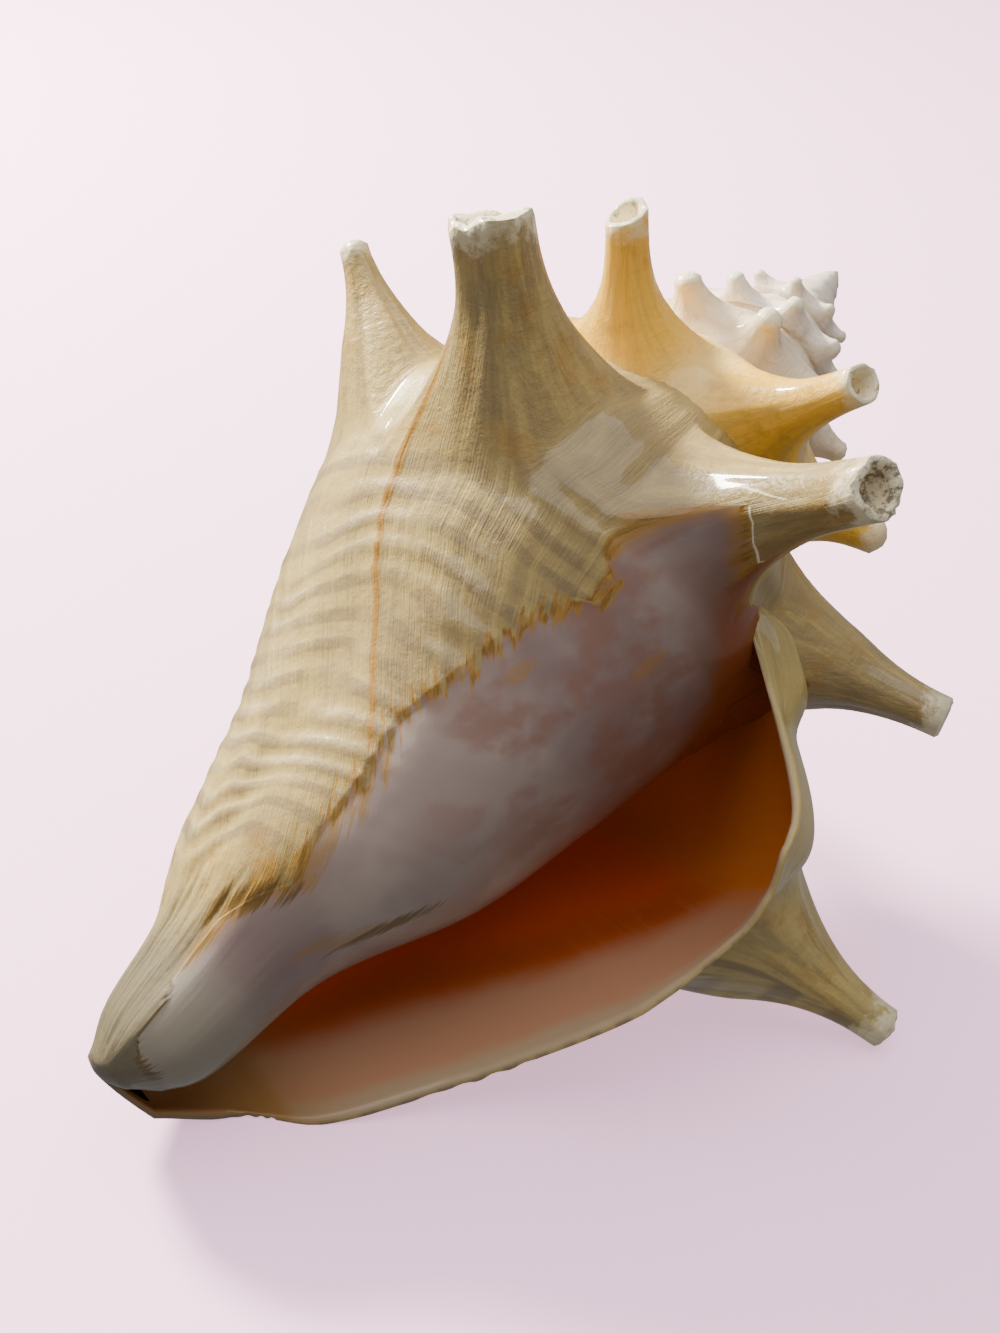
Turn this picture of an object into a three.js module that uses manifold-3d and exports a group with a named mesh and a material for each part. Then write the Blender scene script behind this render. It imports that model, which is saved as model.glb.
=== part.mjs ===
// A queen conch shell, not fully grown: no spread lip yet, long hollow spines on the shoulder.
// It rests with the opening forward and up, on the edge of its lip and on two spines.
// Units are millimetres and degrees.
import * as THREE from "three";
import { mergeVertices } from "three/addons/utils/BufferGeometryUtils.js";
import Module from "manifold-3d";

// Growth. A stage is an angle in degrees round the shell's axis: 0 at the lip, older stages below 0.
// Each size below is that of stage 0, and a turn back in time divides it by its rate.
const SHOULDER_RADIUS = 54.6;
const SHOULDER_DEPTH = 97.8;
const BASE_DEPTH = 201.9;
const WIDTH_RATE = 1.504;
const SHOULDER_RATE = 1.463;
const BASE_RATE = 1.312;
const TURN = 360;
const APEX_STAGE = -7 * TURN;

// The front end of the shell, the tip of the column that the whorls wind round.
const TIP_DEPTH = 185.5;
const TIP_TAPER = 7;
const TIP_FROM_STAGE = -520;
const TIP_TO_STAGE = -440;

// The lip edge leans back towards the front end, and flares out a little in its last part.
const LIP_FLARE = 12.9;
const LEAN_STAGES = 210;
const FLARE_STAGES = 60;

// The swelling just behind the lip's upper corner, where the lip laps over the spine before it.
const LOBE = { height: 4.4, stage: -16, stages: 15, station: 2, stations: 1.4 };

// The inner lip is the thick glazed wall across the opening from the lip. It comes and goes over stages.
const INNER_LIP = { grows: [-620, -520], fades: [-345, -255] };
const CANAL_WIDENS = [-200, -80];

// The hollow: the wall is thin at the lip's edge and reaches its full thickness some stages inside.
const LIP_EDGE = 1.8;
const WALL = 3.4;
const WALL_STAGES = 45;
const CAVITY_STAGES = 190;
const CAVITY_STEPS = 18;
const CAVITY_PAST_LIP = 5;
const CAVITY_GAP = 0.35;

// Stations across a whorl from the suture to the front end. A station's lean is in degrees,
// its flare a share of LIP_FLARE.
const SHOULDER = 3;
const FRONT = 10;
const LEAN = [0, 0, 0, 0, 7, 20, 39, 59, 67, 74, 80];
const FLARE = [0, 0.2, 0.45, 0.59, 0.82, 0.99, 0.9, 0.52, 0.34, 0.18, 0];

// Stations where a late whorl, an early one and the apex are divided.
const ACROSS = [0, 0.6, 1.2, 1.8, 2.4, 3, 3.6, 4.3, 5, 5.8, 6.6, 7.4, 8.2, 9, 9.5, 10];
const FEW_ACROSS = [0, 0.8, 1.6, 2.4, 3, 4, 10];
const APEX_ACROSS = [0, 1.5, 3, 10];

// The thin core that closes the middle of the winding, and the nub at the very top: radius and height.
const CORE = [[0, -2], [1, -2.6], [1.5, -4.2], [2.8, -7.5], [3, -120], [2, -183], [0, -184]];
const CORE_SIDES = 10;
const HUB_RADIUS = 1.2;

// Spines and knobs are trumpets: rows of facets up a side that spreads to the foot.
const SPINE_SIDES = 10;
const KNOB_SIDES = 6;
const SPINE_ROWS = 5;
const KNOB_ROWS = 3;
const SPINE_SPREAD = 2.8;
const SPINE_FOOT = 1.1;

// A run of small knobs, one every spacing degrees back from the first.
function knobs(first, count, spacing, shape) {
  const stages = Array.from({ length: count }, (_, i) => first - i * spacing);
  return stages.map((stage) => ({ stage, sides: KNOB_SIDES, rows: KNOB_ROWS, ...shape }));
}

// Spines on the shoulder, each grown at a stage. Length is a share of the shoulder radius there,
// rise is the angle above square to the axis, and widths are in millimetres.
const SPINES = [
  { stage: -39, length: 0.75, rise: 7, base: 26.5, tip: 3.4, pit: 2, drop: 10.5, spread: 2.3 },
  { stage: -84, length: 0.26, rise: -6, base: 13, tip: 4.5 },
  { stage: -130, length: 0.8, rise: 0, base: 16, tip: 4 },
  { stage: -174, length: 0.24, rise: 0, base: 9, tip: 3 },
  { stage: -227, length: 0.57, rise: 29, base: 12, tip: 2.4, spread: 1.8 },
  { stage: -269, length: 0.71, rise: 13, base: 16, tip: 6.2, pit: 3 },
  { stage: -326, length: 0.97, rise: 3, base: 14, tip: 5.4, pit: 4 },
  { stage: -378, length: 0.84, rise: 10.5, base: 17, tip: 3.4, pit: 2, drop: 4.5, spread: 2.2 },
  ...knobs(-430, 1, 0, { length: 0.4, rise: 12, base: 9, tip: 3 }),
  ...knobs(-482, 3, 49, { length: 0.58, rise: 14, base: 9.5, tip: 2.6 }),
  { stage: -628, length: 0.82, rise: 20, base: 9.5, tip: 3.2, pit: 4 },
  { stage: -685, length: 0.96, rise: 10, base: 9.5, tip: 3.2, pit: 4 },
  { stage: -737, length: 0.6, rise: 11, base: 8.5, tip: 3, pit: 2 },
  ...knobs(-790, 4, 50, { length: 0.42, rise: 12, base: 7, tip: 2.2, spread: 2.2 }),
  { stage: -982, length: 0.4, rise: 13, base: 7, tip: 2.2, spread: 2.2 },
  { stage: -1020, length: 0.4, rise: 14, base: 7, tip: 2.2, spread: 2.2 },
  ...knobs(-1070, 6, 45, { length: 0.46, rise: 12, base: 5.4, tip: 1.9, spread: 2 }),
  ...knobs(-1338, 5, 43, { length: 0.38, rise: 14, base: 4, tip: 1.5, spread: 1.8 }),
];

// How the shell rests: turned about its own axis, tipped over, then headed with its opening forward.
const LYING = { turn: -89.25, tip: 65.38, heading: 45.24 };
const WORN = 0.6;
const FLOOR = 400;

const wasm = await Module();
wasm.setup();

const radians = THREE.MathUtils.degToRad;
const mix = THREE.MathUtils.lerp;
const step = THREE.MathUtils.smoothstep;
const grown = (size, rate, stage) => size * rate ** (stage / TURN);

// The share of the inner lip's extra thickness at a stage.
function innerLipShare(stage) {
  const { grows, fades } = INNER_LIP;
  return step(stage, ...grows) * (1 - step(stage, ...fades));
}

// Radius and depth of each knot of the whorl's outline at a stage: two from the suture up to the
// shoulder, the shoulder itself, four down the body, and the last three round the column to the front end.
function outlineKnots(stage) {
  const scale = grown(1, WIDTH_RATE, stage);
  const radius = SHOULDER_RADIUS * scale;
  const depth = grown(SHOULDER_DEPTH, SHOULDER_RATE, stage);
  const base = grown(BASE_DEPTH, BASE_RATE, stage);
  const front = mix(base, TIP_DEPTH, step(stage, TIP_FROM_STAGE, TIP_TO_STAGE));
  const sutureRadius = radius / WIDTH_RATE - 2.2 * scale;
  const sutureDepth = depth / SHOULDER_RATE + 3 * scale;
  const thick = innerLipShare(stage);
  const wide = step(stage, ...CANAL_WIDENS);
  const small = Math.min(1, grown(1, WIDTH_RATE, stage - TIP_TO_STAGE));
  const body = (share, inner, lip, t) => {
    return [radius * (share + inner * thick + lip * wide), mix(depth, base, t)];
  };
  const lowest = body(0.37, 0.375, 0.1, 0.78);
  const taper = front - TIP_TAPER * small;
  const column = (plain, more, lip) => (plain + more * thick + lip * wide) * small;
  return [
    [sutureRadius, sutureDepth],
    [mix(sutureRadius, radius, 0.45) - 0.5 * scale, mix(sutureDepth, depth, 0.5) - 1.5 * scale],
    [radius - 1.2 * scale, depth - scale],
    [radius, depth + 5 * scale],
    body(0.965, 0.125, 0, 0.13),
    body(0.8, 0.19, 0, 0.32),
    body(0.555, 0.32, 0.04, 0.55),
    lowest,
    [column(9.8, 5.7, 13), mix(lowest[1], taper, 0.5)],
    [column(6.4, 5, 14), taper],
    [column(3, 1.2, 11), front],
  ];
}

// The outline at a stage as a smooth curve through its knots.
function outlineCurve(stage) {
  const points = outlineKnots(stage).map(([radius, depth]) => new THREE.Vector3(radius, -depth, 0));
  return new THREE.CatmullRomCurve3(points, false, "centripetal");
}

// A value given at each station, between two of them.
function atStation(values, station) {
  const low = Math.min(Math.floor(station), FRONT - 1);
  return mix(values[low], values[low + 1], station - low);
}

// The stage that a station of the growth line has really reached.
function leaningStage(stage, station) {
  const lean = step(stage, -LEAN_STAGES, 0);
  return stage - atStation(LEAN, station) * lean;
}

// How far the swelling behind the lip stands out at a stage and a station.
function lobe(stage, station) {
  const away = ((stage - LOBE.stage) / LOBE.stages) ** 2 + ((station - LOBE.station) / LOBE.stations) ** 2;
  return LOBE.height * Math.exp(-away);
}

// Radius and height of the outer surface, moved inwards by inset.
function section(stage, station, inset) {
  const curve = outlineCurve(leaningStage(stage, station));
  const at = station / FRONT;
  const point = curve.getPoint(at);
  const along = curve.getTangent(at);
  const flare = LIP_FLARE * atStation(FLARE, station) * Math.max(0, 1 + stage / FLARE_STAGES) ** 2;
  const inwards = inset - lobe(stage, station);
  return new THREE.Vector2(point.x + flare + along.y * inwards, point.y - along.x * inwards);
}

// A point of the shell's own frame: radius and height turned to a stage.
function placed(radius, height, stage) {
  const angle = radians(-stage);
  return new THREE.Vector3(radius * Math.cos(angle), radius * Math.sin(angle), height);
}

// A closed solid from rings of equally many points, its two ends capped by a strip across.
function sweptSolid(rings) {
  const count = rings[0].length;
  const at = (ring, point) => ring * count + (point % count);
  const index = [];
  for (let ring = 0; ring < rings.length - 1; ring++) {
    for (let point = 0; point < count; point++) {
      const corners = [at(ring, point), at(ring + 1, point), at(ring + 1, point + 1), at(ring, point + 1)];
      index.push(corners[0], corners[1], corners[2], corners[0], corners[2], corners[3]);
    }
  }
  const last = rings.length - 1;
  for (let point = 0; point < count / 2 - 1; point++) {
    const other = count - 1 - point;
    index.push(at(0, point), at(0, point + 1), at(0, other));
    index.push(at(0, point + 1), at(0, other - 1), at(0, other));
    index.push(at(last, point), at(last, other), at(last, point + 1));
    index.push(at(last, point + 1), at(last, other), at(last, other - 1));
  }
  const geometry = new THREE.BufferGeometry().setFromPoints(rings.flat());
  geometry.setIndex(index);
  return solid(geometry);
}

function solid(geometry) {
  const bare = geometry.clone();
  bare.deleteAttribute("normal");
  bare.deleteAttribute("uv");
  const merged = mergeVertices(bare, 1e-4);
  const vertProperties = new Float32Array(merged.attributes.position.array);
  const made = new wasm.Manifold(
    new wasm.Mesh({ numProp: 3, vertProperties, triVerts: new Uint32Array(merged.index.array) }),
  );
  if (made.volume() > 0) return made;
  throw new Error("a solid is inside out");
}

const series = (from, to, count) => Array.from({ length: count + 1 }, (_, i) => mix(from, to, i / count));

// One stretch of whorl, filled in to the axis.
function whorl(from, to, steps, stations) {
  const rings = series(from, to, steps).map((stage) => {
    const outer = stations.map((station) => {
      const { x, y } = section(stage, station, 0);
      return placed(x, y, leaningStage(stage, station));
    });
    const hub = grown(HUB_RADIUS, WIDTH_RATE, stage);
    const inner = outer.map((point, i) => placed(hub, point.z, leaningStage(stage, stations[i])));
    return [...outer, ...inner.reverse()];
  });
  return sweptSolid(rings);
}

// The radius of the whorl one turn before, at a height: the wall that the opening leaves.
function wallRadius(stage, height) {
  const curve = outlineCurve(stage - TURN);
  const lower = ACROSS.filter((station) => station >= SHOULDER);
  const points = lower.map((station) => curve.getPoint(station / FRONT));
  const below = points.findIndex((point, i) => i > 0 && point.y < height);
  if (below < 0) return points.at(-1).x;
  const [high, low] = [points[below - 1], points[below]];
  return mix(high.x, low.x, THREE.MathUtils.inverseLerp(high.y, low.y, height));
}

// The hollow that the animal lived in, from past the lip to deep inside.
function cavity() {
  const stations = ACROSS.slice(1, -1);
  const rings = series(-CAVITY_STAGES, CAVITY_PAST_LIP, CAVITY_STEPS).map((stage) => {
    const thickness = mix(LIP_EDGE, WALL, step(-stage, 0, WALL_STAGES));
    const sides = stations.map((station) => {
      const reached = leaningStage(Math.min(stage, 0), station) + Math.max(stage, 0);
      const { x, y } = section(Math.min(stage, 0), station, thickness);
      const wall = wallRadius(reached, y) + CAVITY_GAP;
      return [placed(Math.max(x, wall + CAVITY_GAP), y, reached), placed(wall, y, reached)];
    });
    return [...sides.map(([outer]) => outer), ...sides.map(([, wall]) => wall).reverse()];
  });
  return sweptSolid(rings);
}

// A spine as a trumpet on a blunt cone sunk in the shoulder, with a pit where its end broke off.
function spine({ stage, length, rise, base, tip, ...rest }) {
  const { pit = 0, drop = 1, spread = SPINE_SPREAD, sides = SPINE_SIDES, rows = SPINE_ROWS } = rest;
  const scale = grown(1, WIDTH_RATE, stage);
  const tall = SHOULDER_RADIUS * scale * length;
  const side = (t) => new THREE.Vector2(mix(tip, base, (1 - t) ** spread), t * tall);
  const outside = series(-0.03, 1, rows).map(side);
  const foot = new THREE.Vector2(0, -SPINE_FOOT * base);
  const rim = new THREE.Vector2(tip * 0.6, tall + 0.1 * tip);
  const middle = new THREE.Vector2(0, tall - pit);
  const shape = new THREE.LatheGeometry([foot, ...outside, rim, middle], sides);
  shape.rotateZ(radians(rise - 90));
  shape.translate(SHOULDER_RADIUS * scale - 3 * scale, 0, 0);
  shape.rotateX(Math.PI / 2);
  shape.rotateZ(radians(-stage));
  shape.translate(0, 0, -grown(SHOULDER_DEPTH, SHOULDER_RATE, stage) - drop * scale);
  return solid(shape);
}

function axisCore() {
  const points = CORE.map(([radius, height]) => new THREE.Vector2(radius, height)).reverse();
  return solid(new THREE.LatheGeometry(points, CORE_SIDES).rotateX(Math.PI / 2));
}

// The whole shell in its own frame. Where two whorls meet, a flat sliver can come loose: it is left out.
function wholeShell() {
  let shell = axisCore();
  shell = shell.add(whorl(-280, 0, 30, ACROSS));
  shell = shell.add(whorl(-570, -270, 30, ACROSS));
  shell = shell.add(whorl(-870, -560, 22, FEW_ACROSS));
  shell = shell.add(whorl(-1170, -860, 16, FEW_ACROSS));
  shell = shell.add(whorl(-1470, -1160, 12, FEW_ACROSS));
  for (let stage = -1460; stage > APEX_STAGE; stage -= 300) {
    shell = shell.add(whorl(stage - 310, stage, 7, APEX_ACROSS));
  }
  for (const each of SPINES) shell = shell.add(spine(each));
  const bodies = shell.subtract(cavity()).decompose();
  return bodies.sort((a, b) => b.volume() - a.volume())[0];
}

// Laid down, and worn flat by a hair where it touches the floor. The origin is under its middle.
function laidDown(made) {
  const geometry = geometryOf(made);
  geometry.rotateZ(radians(LYING.turn)).rotateY(radians(LYING.tip)).rotateZ(radians(LYING.heading));
  geometry.computeBoundingBox();
  const { min, max } = geometry.boundingBox;
  geometry.translate(-(min.x + max.x) / 2, -(min.y + max.y) / 2, -min.z - WORN);
  const below = new THREE.BoxGeometry(FLOOR, FLOOR, FLOOR).translate(0, 0, -FLOOR / 2);
  return geometryOf(solid(geometry).subtract(solid(below)));
}

function geometryOf(made) {
  const { vertProperties, triVerts } = made.getMesh();
  const geometry = new THREE.BufferGeometry();
  geometry.setAttribute("position", new THREE.BufferAttribute(vertProperties, 3));
  geometry.setIndex(new THREE.BufferAttribute(triVerts, 1));
  return geometry;
}

const shell = new THREE.Mesh(
  laidDown(wholeShell()),
  new THREE.MeshStandardMaterial({ color: 0xe6d9bb, roughness: 0.28, metalness: 0 }),
);
shell.name = "shell";

const part = new THREE.Group();
part.add(shell);
export default part;
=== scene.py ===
"""A queen conch shell that is not fully grown, at rest on the edge of its lip with the opening forward.

The shell is one sheet wound on the growth spiral of the CAD part, with the relief, broken spine ends, glaze and
colours that the plain solid leaves out. Sizes are in millimetres and degrees in the shell's own frame, apex at the
origin and axis down -Z, until a piece is set down in the row frame, in metres.
"""

import logging
import math
from dataclasses import dataclass, field
from enum import Enum

import bpy
import numpy as np
from mathutils import Matrix, Vector


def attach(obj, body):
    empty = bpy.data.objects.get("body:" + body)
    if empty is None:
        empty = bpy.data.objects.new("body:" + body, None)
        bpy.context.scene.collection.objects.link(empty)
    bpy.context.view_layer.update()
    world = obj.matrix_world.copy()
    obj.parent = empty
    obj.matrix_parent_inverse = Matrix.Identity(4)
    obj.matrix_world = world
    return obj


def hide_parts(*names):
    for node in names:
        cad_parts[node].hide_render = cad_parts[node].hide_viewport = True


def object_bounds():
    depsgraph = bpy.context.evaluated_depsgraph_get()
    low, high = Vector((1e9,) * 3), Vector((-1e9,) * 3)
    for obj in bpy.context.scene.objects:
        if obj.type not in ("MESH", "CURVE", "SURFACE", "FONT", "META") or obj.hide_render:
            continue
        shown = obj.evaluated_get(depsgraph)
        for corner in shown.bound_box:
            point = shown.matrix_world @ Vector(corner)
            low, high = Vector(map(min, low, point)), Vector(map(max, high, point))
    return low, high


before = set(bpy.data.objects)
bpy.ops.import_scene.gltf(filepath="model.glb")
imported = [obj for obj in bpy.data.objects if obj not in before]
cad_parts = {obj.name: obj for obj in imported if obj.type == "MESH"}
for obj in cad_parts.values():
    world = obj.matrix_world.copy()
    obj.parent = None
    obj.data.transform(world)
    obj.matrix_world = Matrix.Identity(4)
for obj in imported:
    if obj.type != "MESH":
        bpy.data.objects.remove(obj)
cad_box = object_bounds()

LOG = logging.getLogger("conch")
BODY = "root"
NODE = "shell"
MILLIMETRE = 0.001
TURN = 360.0
TINY = 1e-9
LEAST_RINGS = 4
PIT_RINGS = 12
END_RINGS = 5
Grid = np.ndarray
Triple = tuple[float, float, float]
Color = Triple
Curve = tuple[float, ...]
Socket = bpy.types.NodeSocket


def ease(value: Grid, low: float, high: float) -> Grid:
    """A smooth step from 0 at low to 1 at high.

    Args:
        value: Numbers to step over.
        low: Where the step begins.
        high: Where the step ends.

    Returns:
        The share from 0 to 1 for each value.
    """
    share = np.clip((np.asarray(value, float) - low) / (high - low), 0, 1)
    return share * share * (3 - 2 * share)


def blend(first: Grid, second: Grid, share: Grid) -> Grid:
    """The value a share of the way from the first to the second."""
    return first + (second - first) * share


def unit(vectors: Grid) -> Grid:
    """The vectors at length one."""
    return vectors / np.maximum(np.linalg.norm(vectors, axis=-1, keepdims=True), TINY)


def ripple(along: Grid, across: Grid, seed: int, cells: int = 64) -> Grid:
    """Smooth noise from -1 to 1 over two coordinates, one bump a unit.

    Args:
        along: First coordinate.
        across: Second coordinate.
        seed: Picks the pattern.
        cells: Units after which the pattern repeats.

    Returns:
        One value for each pair.
    """
    heights = np.random.default_rng(seed).uniform(-1, 1, (cells, cells))
    along, across = np.broadcast_arrays(np.asarray(along, float), np.asarray(across, float))
    low_a, low_b = np.floor(along).astype(int), np.floor(across).astype(int)
    part_a, part_b = ease(along - low_a, 0, 1), ease(across - low_b, 0, 1)
    first, second = (low_a % cells, (low_a + 1) % cells)
    near, far = (blend(heights[first, b], heights[second, b], part_a) for b in (low_b % cells, (low_b + 1) % cells))
    return blend(near, far, part_b)


def apart(angle: Grid, other: float) -> Grid:
    """The angle from one direction to another, within half a turn either way."""
    return np.angle(np.exp(1j * (angle - other)))


@dataclass(frozen=True)
class Growth:
    """The growth spiral and the whorl's outline, with the sizes of the CAD part.

    A stage is an angle round the axis: 0 at the lip, older stages below 0. A station runs across the whorl
    from the suture, 0, over the shoulder, 3, to the front end, 10. Each knot of the body has its share of the
    shoulder's radius, what the inner lip and the wide canal add to it, and its share of the depth. Each knot
    of the stem has its radius in millimetres with the same two additions.
    """

    shoulder_radius: float = 54.6
    shoulder_depth: float = 97.8
    base_depth: float = 201.9
    width_rate: float = 1.504
    shoulder_rate: float = 1.463
    base_rate: float = 1.312
    tip_depth: float = 185.5
    tip_taper: float = 7.0
    tip_stages: tuple[float, float] = (-520, -440)
    lip_flare: float = 12.9
    flare_stages: float = 60.0
    lean_stages: float = 210.0
    inner_lip_grows: tuple[float, float] = (-620, -520)
    inner_lip_fades: tuple[float, float] = (-345, -255)
    canal_widens: tuple[float, float] = (-200, -80)
    body: tuple[Curve, ...] = (
        (0.965, 0.125, 0, 0.13), (0.8, 0.19, 0, 0.32), (0.555, 0.32, 0.04, 0.55), (0.37, 0.375, 0.1, 0.78),
    )
    stem: tuple[Curve, ...] = ((9.8, 5.7, 13), (6.4, 5, 14), (3, 1.2, 11))
    lean: Curve = (0, 0, 0, 0, 7, 20, 39, 59, 67, 74, 80, 80)
    flare: Curve = (0, 0.2, 0.45, 0.59, 0.82, 0.99, 0.9, 0.52, 0.34, 0.18, 0, 0)
    lobe_height: float = 4.4
    lobe_stage: tuple[float, float] = (-16, 15)
    lobe_station: tuple[float, float] = (2, 1.4)
    chip: float = 0.9
    corner: float = 11.0
    flange: float = 3.8
    flange_station: tuple[float, float] = (0.62, 0.42)
    cap: float = 1.2
    spine_root: float = 3.0
    nub: float = 2.0

    def lobe(self, stage: Grid, station: Grid) -> Grid:
        """How far the swelling behind the lip's upper corner stands out.

        Args:
            stage: Growth lines, one to a vertex.
            station: Stations, one to a vertex.

        Returns:
            The height in millimetres, one to a vertex.
        """
        stage_away = (stage - self.lobe_stage[0]) / self.lobe_stage[1]
        station_away = (station - self.lobe_station[0]) / self.lobe_station[1]
        lobe = self.lobe_height * np.exp(-(stage_away**2) - station_away**2)
        beside = (station - self.flange_station[0]) / self.flange_station[1]
        lift = ease(-stage, 0, 5) * (1 - ease(-stage, 8, 24))
        return lobe + self.flange * lift * np.exp(-(beside**4))

    def chipped(self, stage: Grid, station: Grid) -> Grid:
        """The stage with the lip's edge wavy and chipped, and its upper corner grown further ahead.

        Args:
            stage: Growth lines, one to a vertex.
            station: Stations, one to a vertex.

        Returns:
            The stages, one to a vertex.
        """
        wave = 0.6 * ripple(station * 1.7, np.zeros_like(station), 21) + 0.4 * ripple(station * 6, station * 0.3, 22)
        ahead = self.corner * (1 - ease(station, 0.15, 1.2)) * ease(stage, -34, 0)
        edge = ease(stage, -6, 0) * (1 - ease(station, 8.6, 9.6))
        return stage + ahead + self.chip * np.minimum(wave - 0.2, 0) * edge

    def scale(self, stage: Grid) -> Grid:
        """Size of the whorl at a stage, as a share of the last one."""
        return self.width_rate ** (np.asarray(stage, float) / TURN)

    def shoulder(self, stage: Grid) -> Grid:
        """Depth of the shoulder below the apex at a stage."""
        return self.shoulder_depth * self.shoulder_rate ** (np.asarray(stage, float) / TURN)

    def knots(self, stage: Grid) -> Grid:
        """Radius and depth of the outline's eleven knots.

        Args:
            stage: Stages, one to a vertex.

        Returns:
            An array with a row of eleven (radius, depth) pairs for each stage.
        """
        scale = self.scale(stage)
        radius = self.shoulder_radius * scale
        depth = self.shoulder(stage)
        base = self.base_depth * self.base_rate ** (stage / TURN)
        front = blend(base, self.tip_depth, ease(stage, *self.tip_stages))
        suture = radius / self.width_rate - 2.2 * scale
        top = depth / self.shoulder_rate + 3 * scale
        thick = ease(stage, *self.inner_lip_grows) * (1 - ease(stage, *self.inner_lip_fades))
        wide = ease(stage, *self.canal_widens)
        small = np.minimum(1, self.scale(stage - self.tip_stages[1]))
        rows = [(suture, top), (blend(suture, radius, 0.45) - 0.5 * scale, blend(top, depth, 0.5) - 1.5 * scale)]
        rows += [(radius - 1.2 * scale, depth - scale), (radius, depth + 5 * scale)]
        rows += [(radius * (a + b * thick + c * wide), blend(depth, base, t)) for a, b, c, t in self.body]
        taper = front - self.tip_taper * small
        depths = (blend(rows[7][1], taper, 0.5), taper, front)
        rows += [((a + b * thick + c * wide) * small, deep) for (a, b, c), deep in zip(self.stem, depths)]
        return np.stack([np.stack(np.broadcast_arrays(*row), -1) for row in rows], -2)

    def outline(self, stage: Grid, station: Grid) -> Grid:
        """Radius and depth on the smooth curve through the knots.

        Args:
            stage: Stages, one to a vertex.
            station: Stations from 0 to 10, one to a vertex.

        Returns:
            An array of (radius, depth) pairs.
        """
        knots = self.knots(stage)
        ends = [2 * knots[..., :1, :] - knots[..., 1:2, :], 2 * knots[..., -1:, :] - knots[..., -2:-1, :]]
        chain = np.concatenate([ends[0], knots, ends[1]], -2)
        low = np.clip(np.floor(station).astype(int), 0, 9)
        picks = [np.take_along_axis(chain, (low + step)[..., None, None], -2)[..., 0, :] for step in range(4)]
        gaps = [np.sqrt(np.linalg.norm(b - a, axis=-1, keepdims=True)) + TINY for a, b in zip(picks, picks[1:])]
        p0, p1, p2, p3 = picks
        t1, t2, t3 = np.cumsum(gaps, axis=0)
        t = t1 + (t2 - t1) * (station - low)[..., None]
        a1 = p0 + (p1 - p0) * t / t1
        a2 = p1 + (p2 - p1) * (t - t1) / (t2 - t1)
        a3 = p2 + (p3 - p2) * (t - t2) / (t3 - t2)
        b1 = a1 + (a2 - a1) * t / t2
        b2 = a2 + (a3 - a2) * (t - t1) / (t3 - t1)
        return b1 + (b2 - b1) * (t - t1) / (t2 - t1)

    def reached(self, stage: Grid, station: Grid) -> Grid:
        """The stage that a station of the leaning growth line has really reached."""
        lean = np.interp(station, range(len(self.lean)), self.lean)
        return stage - lean * ease(stage, -self.lean_stages, 0)

    def point(self, stage: Grid, station: Grid, inset: Grid = 0.0) -> Grid:
        """Points of the wall in the shell's own frame.

        Args:
            stage: Growth lines, one to a vertex.
            station: Stations, one to a vertex. Past 10 the wall closes over the front end.
            inset: Distance in from the outer face.

        Returns:
            An array of points in millimetres.
        """
        inset = inset - self.lobe(stage, station)
        reached = self.reached(self.chipped(stage, station), station)
        within = np.minimum(station, 10)
        here = self.outline(reached, within)
        step = 0.02
        along = unit(self.outline(reached, np.minimum(within + step, 10)) - self.outline(reached, within - step))
        share = np.interp(station, range(len(self.flare)), self.flare)
        flare = self.lip_flare * share * np.maximum(0, 1 + stage / self.flare_stages) ** 2
        radius = here[..., 0] + flare - along[..., 1] * inset
        height = -(here[..., 1] + along[..., 0] * inset)
        past = np.clip(station - 10, 0, 1)
        radius = radius * (1 - past)
        height = height - self.cap * np.sin(past * math.pi / 2)
        turned = np.radians(-reached)
        return np.stack([radius * np.cos(turned), radius * np.sin(turned), height], -1)


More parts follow.
